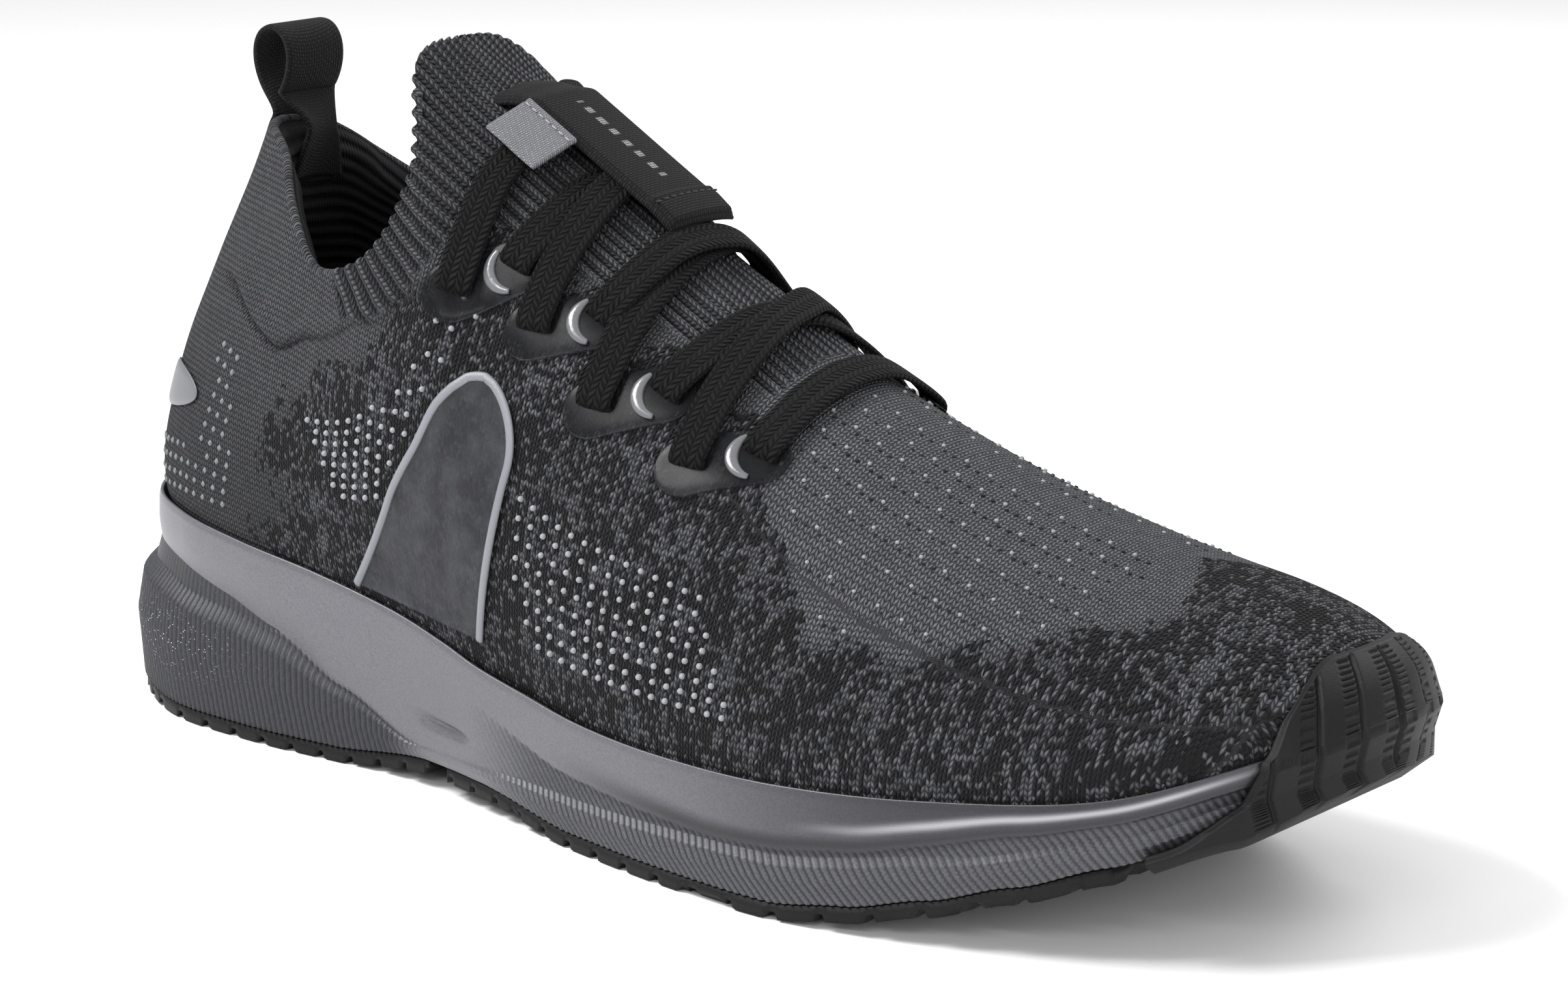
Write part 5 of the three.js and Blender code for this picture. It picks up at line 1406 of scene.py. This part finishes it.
def strand(side, lift):
    """The lace from the middle of the toe bar up one way to its end."""
    def at(uv):
        return one(on_upper, *uv, 0)

    holes = []
    for k, pair in enumerate(EYELET_PAIRS[::-1]):
        here = side if k % 2 == 0 else -side
        holes.append((side_of(pair[0], here), side_of(pair[1], here), here))
    first = holes[0][1]
    bar_x = one(wall, *first)[0]
    ridge, beside = (uv_at_x(bar_x, v, side) for v in (1, 0.88))
    top = one(on_upper, *ridge, LACE_LIFT)
    knots = [(top, np.cross(one(wall_normal, *ridge), [0, side, 0]))]
    knots += laid_knots([(beside, LACE_LIFT)], top, at(first))
    for k, (outer, inner, here) in enumerate(holes):
        inside = at(outer) - at(inner)
        knots += through(inner, at(inner) - knots[-1][0], inside, True)
        if k + 1 == len(holes):
            route, after = end_route(here), over_rim(here)
            aim = after[0][0]
        else:
            route, after = over_instep(outer, holes[k + 1][1], here, lift), []
            aim = at(holes[k + 1][1])
        knots += through(outer, one(on_upper, *route[0][0], route[0][1]) - at(outer), inside, False)
        knots += laid_knots(route, at(outer), aim) + after
    return knots


def centripetal(points, at):
    """A centripetal Catmull-Rom curve through points, at fractional positions."""
    p = np.array([2 * points[0] - points[1], *points, 2 * points[-1] - points[-2]])
    i = np.minimum(np.floor(at).astype(int), len(points) - 2)
    f = (at - i)[:, None]
    p0, p1, p2, p3 = p[i], p[i + 1], p[i + 2], p[i + 3]
    d0, d1, d2 = [np.sqrt(np.linalg.norm(b - a, axis=-1))[:, None] for a, b in
                  ((p0, p1), (p1, p2), (p2, p3))]
    m1 = ((p1 - p0) / d0 - (p2 - p0) / (d0 + d1) + (p2 - p1) / d1) * d1
    m2 = ((p2 - p1) / d1 - (p3 - p1) / (d1 + d2) + (p3 - p2) / d2) * d1
    return (p1 + m1 * f + (-3 * p1 + 3 * p2 - 2 * m1 - m2) * f ** 2
            + (2 * p1 - 2 * p2 + m1 + m2) * f ** 3)


def ribbon(name, knots, step=0.9, sides=22):
    """A flat lace through (point, width) pairs: the piece and its length."""
    points = [p for p, _ in knots]
    widths = [unit(np.asarray(knots[0][1], float))]
    for _, w in knots[1:]:
        w = unit(np.asarray(w, float))
        widths.append(-w if w @ widths[-1] < 0 else w)
    widths = np.array(widths)
    at = []
    for i in range(len(points) - 1):
        count = max(2, int(np.ceil(np.linalg.norm(points[i + 1] - points[i]) / step)))
        at.extend(i + np.arange(count) / count)
    at = np.array([*at, len(points) - 1])
    line = centripetal(points, at)
    ahead = unit(np.gradient(line, axis=0))
    i = np.minimum(np.floor(at).astype(int), len(points) - 2)
    f = (at - i)[:, None]
    across = widths[i] * (1 - f) + widths[i + 1] * f
    across = unit(across - ahead * (across * ahead).sum(-1, keepdims=True))
    face = np.cross(ahead, across)
    turn = full_turn(sides)
    a = LACE_WIDTH / 2 * np.sign(np.cos(turn)) * np.abs(np.cos(turn)) ** 0.55
    b = LACE_THICKNESS / 2 * np.sign(np.sin(turn)) * np.abs(np.sin(turn)) ** 0.7
    rings = line[:, None] + across[:, None] * a[None, :, None] + face[:, None] * b[None, :, None]
    run = running(line)
    return capped(name, rings, flat_sheet(run[:, None], a[None] + 20)), run[-1]


def flat_sheet(along_it, across_it):
    """Flat coordinates from the place along a tape and the place across it."""
    return np.stack(np.broadcast_arrays(along_it, across_it, 0.0), -1)


def make_lace(mat):
    """One lace in both strands. The upper's eyelets hold it all the way, so it's no free cord."""
    outer, inner = strand(1, 0.0), strand(-1, CROSS_LIFT)
    lace, length = ribbon("lace_ribbon", outer[::-1] + inner[1:])
    settle(lace, mat, "lace", "lace")
    print("lace length mm", round(length, 1))


# ---------------------------------------------------------------- strap, tag and heel pull

STRAP_LIFT = [[96.5, 0.5], [101, 3.2], [105, 4.9], [134, 4.9], [139.5, 4.2]]
STRAP_FROM, STRAP_TO, STRAP_SEAM = 96.5, 139.5, 134.4
STRAP_WIDTH, STRAP_THICKNESS = 18.5, 1.6


def ridge_frame(x):
    """Point, ahead, across and up on the ridge at X."""
    u = uv_at_x(x, 1, -1)[0]
    ahead = unit(one(top_at, u + 0.03) - one(top_at, u - 0.03))
    across = np.array([0, 1.0, 0])
    return one(top_at, u), ahead, across, unit(np.cross(ahead, across))


def ridge_place(x, y, height):
    """A point over the strap, y to the side and height above its middle."""
    point, _, across, up = ridge_frame(x)
    crown = -0.9 * abs(2 * y / STRAP_WIDTH) ** 2.4
    return point + across * y + up * (float(along(STRAP_LIFT, x)) + crown + height)


def make_strap(mat, thread):
    """Webbing over the tongue, thinned at both ends and thicker at the front hem, with a row of woven
    dashes.
    """
    xs = np.linspace(STRAP_FROM, STRAP_TO, 120)
    ts = np.linspace(-0.5, 0.5, 44)
    point, _, across, up = (np.array(part) for part in zip(*[ridge_frame(x) for x in xs]))
    fall = 0.9 + 2.2 * (1 - smooth(xs, 97, 106))[:, None]
    lift = along(STRAP_LIFT, xs)[:, None] - fall * (np.abs(2 * ts) ** 2.2)[None]
    hem = smooth(xs, 132.5, 133.4)[:, None]
    edge = (1 - smooth(0.5 - np.abs(ts), 0.0, 0.06))[None]
    ends = 1 - smooth(np.minimum(xs - STRAP_FROM, STRAP_TO - xs), 0, 0.9)[:, None]
    thick = STRAP_THICKNESS * (1 + 0.45 * hem) * (1 - 0.45 * edge) * (1 - 0.6 * ends)
    seam = 0.3 * bell(xs, STRAP_SEAM, 0.35)[:, None]

    def at(height):
        return (point[:, None] + up[:, None] * height[..., None]
                + across[:, None] * (ts * STRAP_WIDTH)[None, :, None])

    run = running(point)[:, None]
    dash = ((np.abs((run / 3.6) % 1 - 0.5) < 0.25) & (np.abs(ts[None]) < 0.045)
            & (xs[:, None] > 108) & (xs[:, None] < 129))
    strap = slab("strap_webbing", at(lift + thick - seam), at(lift + 0 * thick),
                 flat_sheet(run, (ts * STRAP_WIDTH)[None] + 30), extra={"mark": dash.astype(float)})
    settle(strap, mat, "strap", "tongue_strap")
    places = [ridge_place(STRAP_SEAM, t * STRAP_WIDTH, 2.1) for t in np.linspace(-0.44, 0.44, 9)]
    stitch_line("strap_stitches", places, (0, 1, 0), 1.5, 0.3, thread)


def stitch_line(name, places, direction, length, radius, mat, slot=None, body="shoe"):
    """Short thread stitches, each a small round-ended capsule along direction."""
    d = unit(np.array(direction, float))
    side = unit(np.cross(d, [0.3, 0.2, 1.0]))
    up = np.cross(side, d)
    sides = 6
    turn = full_turn(sides)
    around = side * np.cos(turn)[:, None] + up * np.sin(turn)[:, None]
    rings = [(-1, 0.25), (-0.85, 0.8), (0, 1.0), (0.85, 0.8), (1, 0.25)]
    points, faces = [], []
    for p in places:
        base = len(points)
        for a, r in rings:
            points.extend(np.asarray(p) + d * a * length / 2 + around * radius * r)
        faces.extend(grid_faces(len(rings), sides, False, True, offset=base).tolist())
        last = base + (len(rings) - 1) * sides
        faces.append([base + k for k in range(sides)][::-1])
        faces.append([last + k for k in range(sides)])
    settle(new_object(name, np.array(points), faces), mat, slot, body=body)


TAG = {"x": 110.5, "length": 13.5, "reach": 11, "thickness": 1.2, "droop": 0.5}


def make_tag(mat, thread):
    """The folded tag that hangs from the strap's outer edge."""
    point, ahead, across, up = ridge_frame(TAG["x"])
    lift = float(along(STRAP_LIFT, TAG["x"])) + STRAP_THICKNESS / 2
    hinge = point + up * lift - across * (STRAP_WIDTH / 2 + 2 * FIT)
    out = -across * math.cos(TAG["droop"]) - up * math.sin(TAG["droop"])
    face = unit(np.cross(ahead, out))
    start = hinge + out * TAG["thickness"] / 2 * math.sin(TAG["droop"])
    a = np.linspace(0, 1, 46)[:, None]
    b = np.linspace(-0.5, 0.5, 40)[None]
    half = TAG["thickness"] / 2 * np.sqrt(np.maximum(0.02, 1 - smooth(a, 0.93, 1.0) ** 2 * 0.97))
    half = half * (1 - 0.35 * bell(a, 0.12, 0.03))
    wave = 0.10 * np.sin(b * 7) * a
    body = start + out * (a * TAG["reach"])[..., None] + ahead * (b * TAG["length"])[..., None]
    top, low = body + face * (half + wave)[..., None], body - face * (half - wave)[..., None]
    tag = slab("tag_cloth", top, low, flat_sheet(b * TAG["length"], a * TAG["reach"] + 10))
    settle(tag, mat, "tag", "tongue_tag", body="tag")
    places = [start + out * 1.4 + ahead * t + face * 0.62 * s
              for t in np.linspace(-5.7, 5.7, 7) for s in (1, -1)]
    stitch_line("tag_stitches", places, ahead, 1.25, 0.2, thread, "tag", "tag")


LOOP = {"x": 30.4, "y": 3.6, "base": 124, "height": 16, "half": 6.4}
LOOP_WIDTH, LOOP_THICKNESS = 15.6, 1.3


def rim_station(y):
    """The rim's station at Y near the heel's middle: station 0 is at Y 2, and one station is 11.5 mm."""
    return (2 - y) / 11.5


def pull_line(y):
    """One thread of the heel pull: up outside the rim, round the loop and down inside."""
    turn = np.linspace(0.12, 0.88, 40) * 2 * math.pi
    half, height = LOOP["half"] - LOOP_THICKNESS / 2, LOOP["height"] - LOOP_THICKNESS / 2
    swell = np.sin(turn) * np.abs(np.sin(turn / 2)) ** 0.6
    ring = np.stack([LOOP["x"] - half * swell, 0 * turn + y,
                     LOOP["base"] + (height * (1 - np.cos(turn)) / 2 + 0.6)], -1)
    u = rim_station(y)
    n = one(wall_normal, u, 1)
    rim = one(wall, u, 1)
    up = unit(rim - one(wall, u, 0.94))
    outside = [one(on_upper, u, v, 0.95) for v in (0.895, 0.925, 0.955, 0.985)]
    inside = [one(on_upper, u, v, -7.4) for v in (0.97, 0.93, 0.89)]
    knots = [*outside, rim + n * 0.9 + up * 1.2, *ring, rim - n * 6.9 + up * 1.2, *inside]
    return centripetal(knots, np.linspace(0, len(knots) - 1, 230))


def make_heel_pull(mat, thread):
    """One length of webbing: up from the outside of the heel, round the loop and down inside."""
    ys = np.linspace(-0.5, 0.5, 34) * LOOP_WIDTH + LOOP["y"]
    grid = np.stack([pull_line(y) for y in ys], 1)
    normal = unit(np.cross(np.gradient(grid, axis=0), np.gradient(grid, axis=1)))
    edge = 1 - 0.35 * smooth(np.abs(np.linspace(-1, 1, len(ys))), 0.9, 1.0)
    half_thick = (LOOP_THICKNESS / 2 * edge)[None, :, None]
    pull = slab("heel_webbing", grid + normal * half_thick, grid - normal * half_thick,
                flat_sheet(running(grid), ys[None] + 40))
    give(pull, mat)
    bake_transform(pull)
    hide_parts("heel_loop", "heel_loop_base")
    places = [one(on_upper, rim_station(y), 0.905, 1.62) for y in np.linspace(-6.2, 6.2, 8) + LOOP["y"]]
    stitch_line("pull_stitches", places, (0, 1, 0), 1.3, 0.22, thread, "webbing")


# ---------------------------------------------------------------- the scene

def main():
    make_camera()
    make_floor()
    make_lights()
    knit_upper()
    make_lining()
    dress_frame()
    # The eyelet crescents' light grey is a painted highlight on their moulded rims.
    make_films(film_material("eyelet_clear", (0.016, 0.0165, 0.019), 0.45, 0.22, 0.00001),
               plain_material("eyelet_painted_highlight", (0.16, 0.162, 0.172), 0.16, 0.00004, 0.8))
    make_panels()
    make_reflectors()
    make_dots()
    make_skin()
    rubber = rubber_material("outsole_rubber", 0.005)
    make_pad("heel_pad_outer", "outsole_heel_outer", (0.12, 5.55, 240), (0.0, 0.44), rubber)
    make_pad("heel_pad_inner", "outsole_heel_inner", (0.12, 5.55, 240), (0.56, 1.0), rubber)
    make_pad("forefoot_pad", "outsole_forefoot", (5.95, 13.05, 360), (0.0, 1.0), rubber)
    make_bumper(rubber_material("bumper_rubber", 0.0055))
    make_lace(braid_material())
    thread = plain_material("black_thread", (0.012, 0.012, 0.013), 0.7)
    black, dashes = (0.0035, 0.0035, 0.004), (0.30, 0.30, 0.31)
    make_strap(woven_material("strap_weave", black, (0.02, 0.02, 0.022), 0.62, mark=dashes), thread)
    make_tag(woven_material("tag_twill", (0.11, 0.11, 0.12), (0.34, 0.345, 0.37), 0.5, 0.9),
             plain_material("tag_thread", (0.35, 0.35, 0.36), 0.7))
    make_heel_pull(woven_material("pull_webbing", black, (0.019, 0.019, 0.021), 0.7), thread)


main()
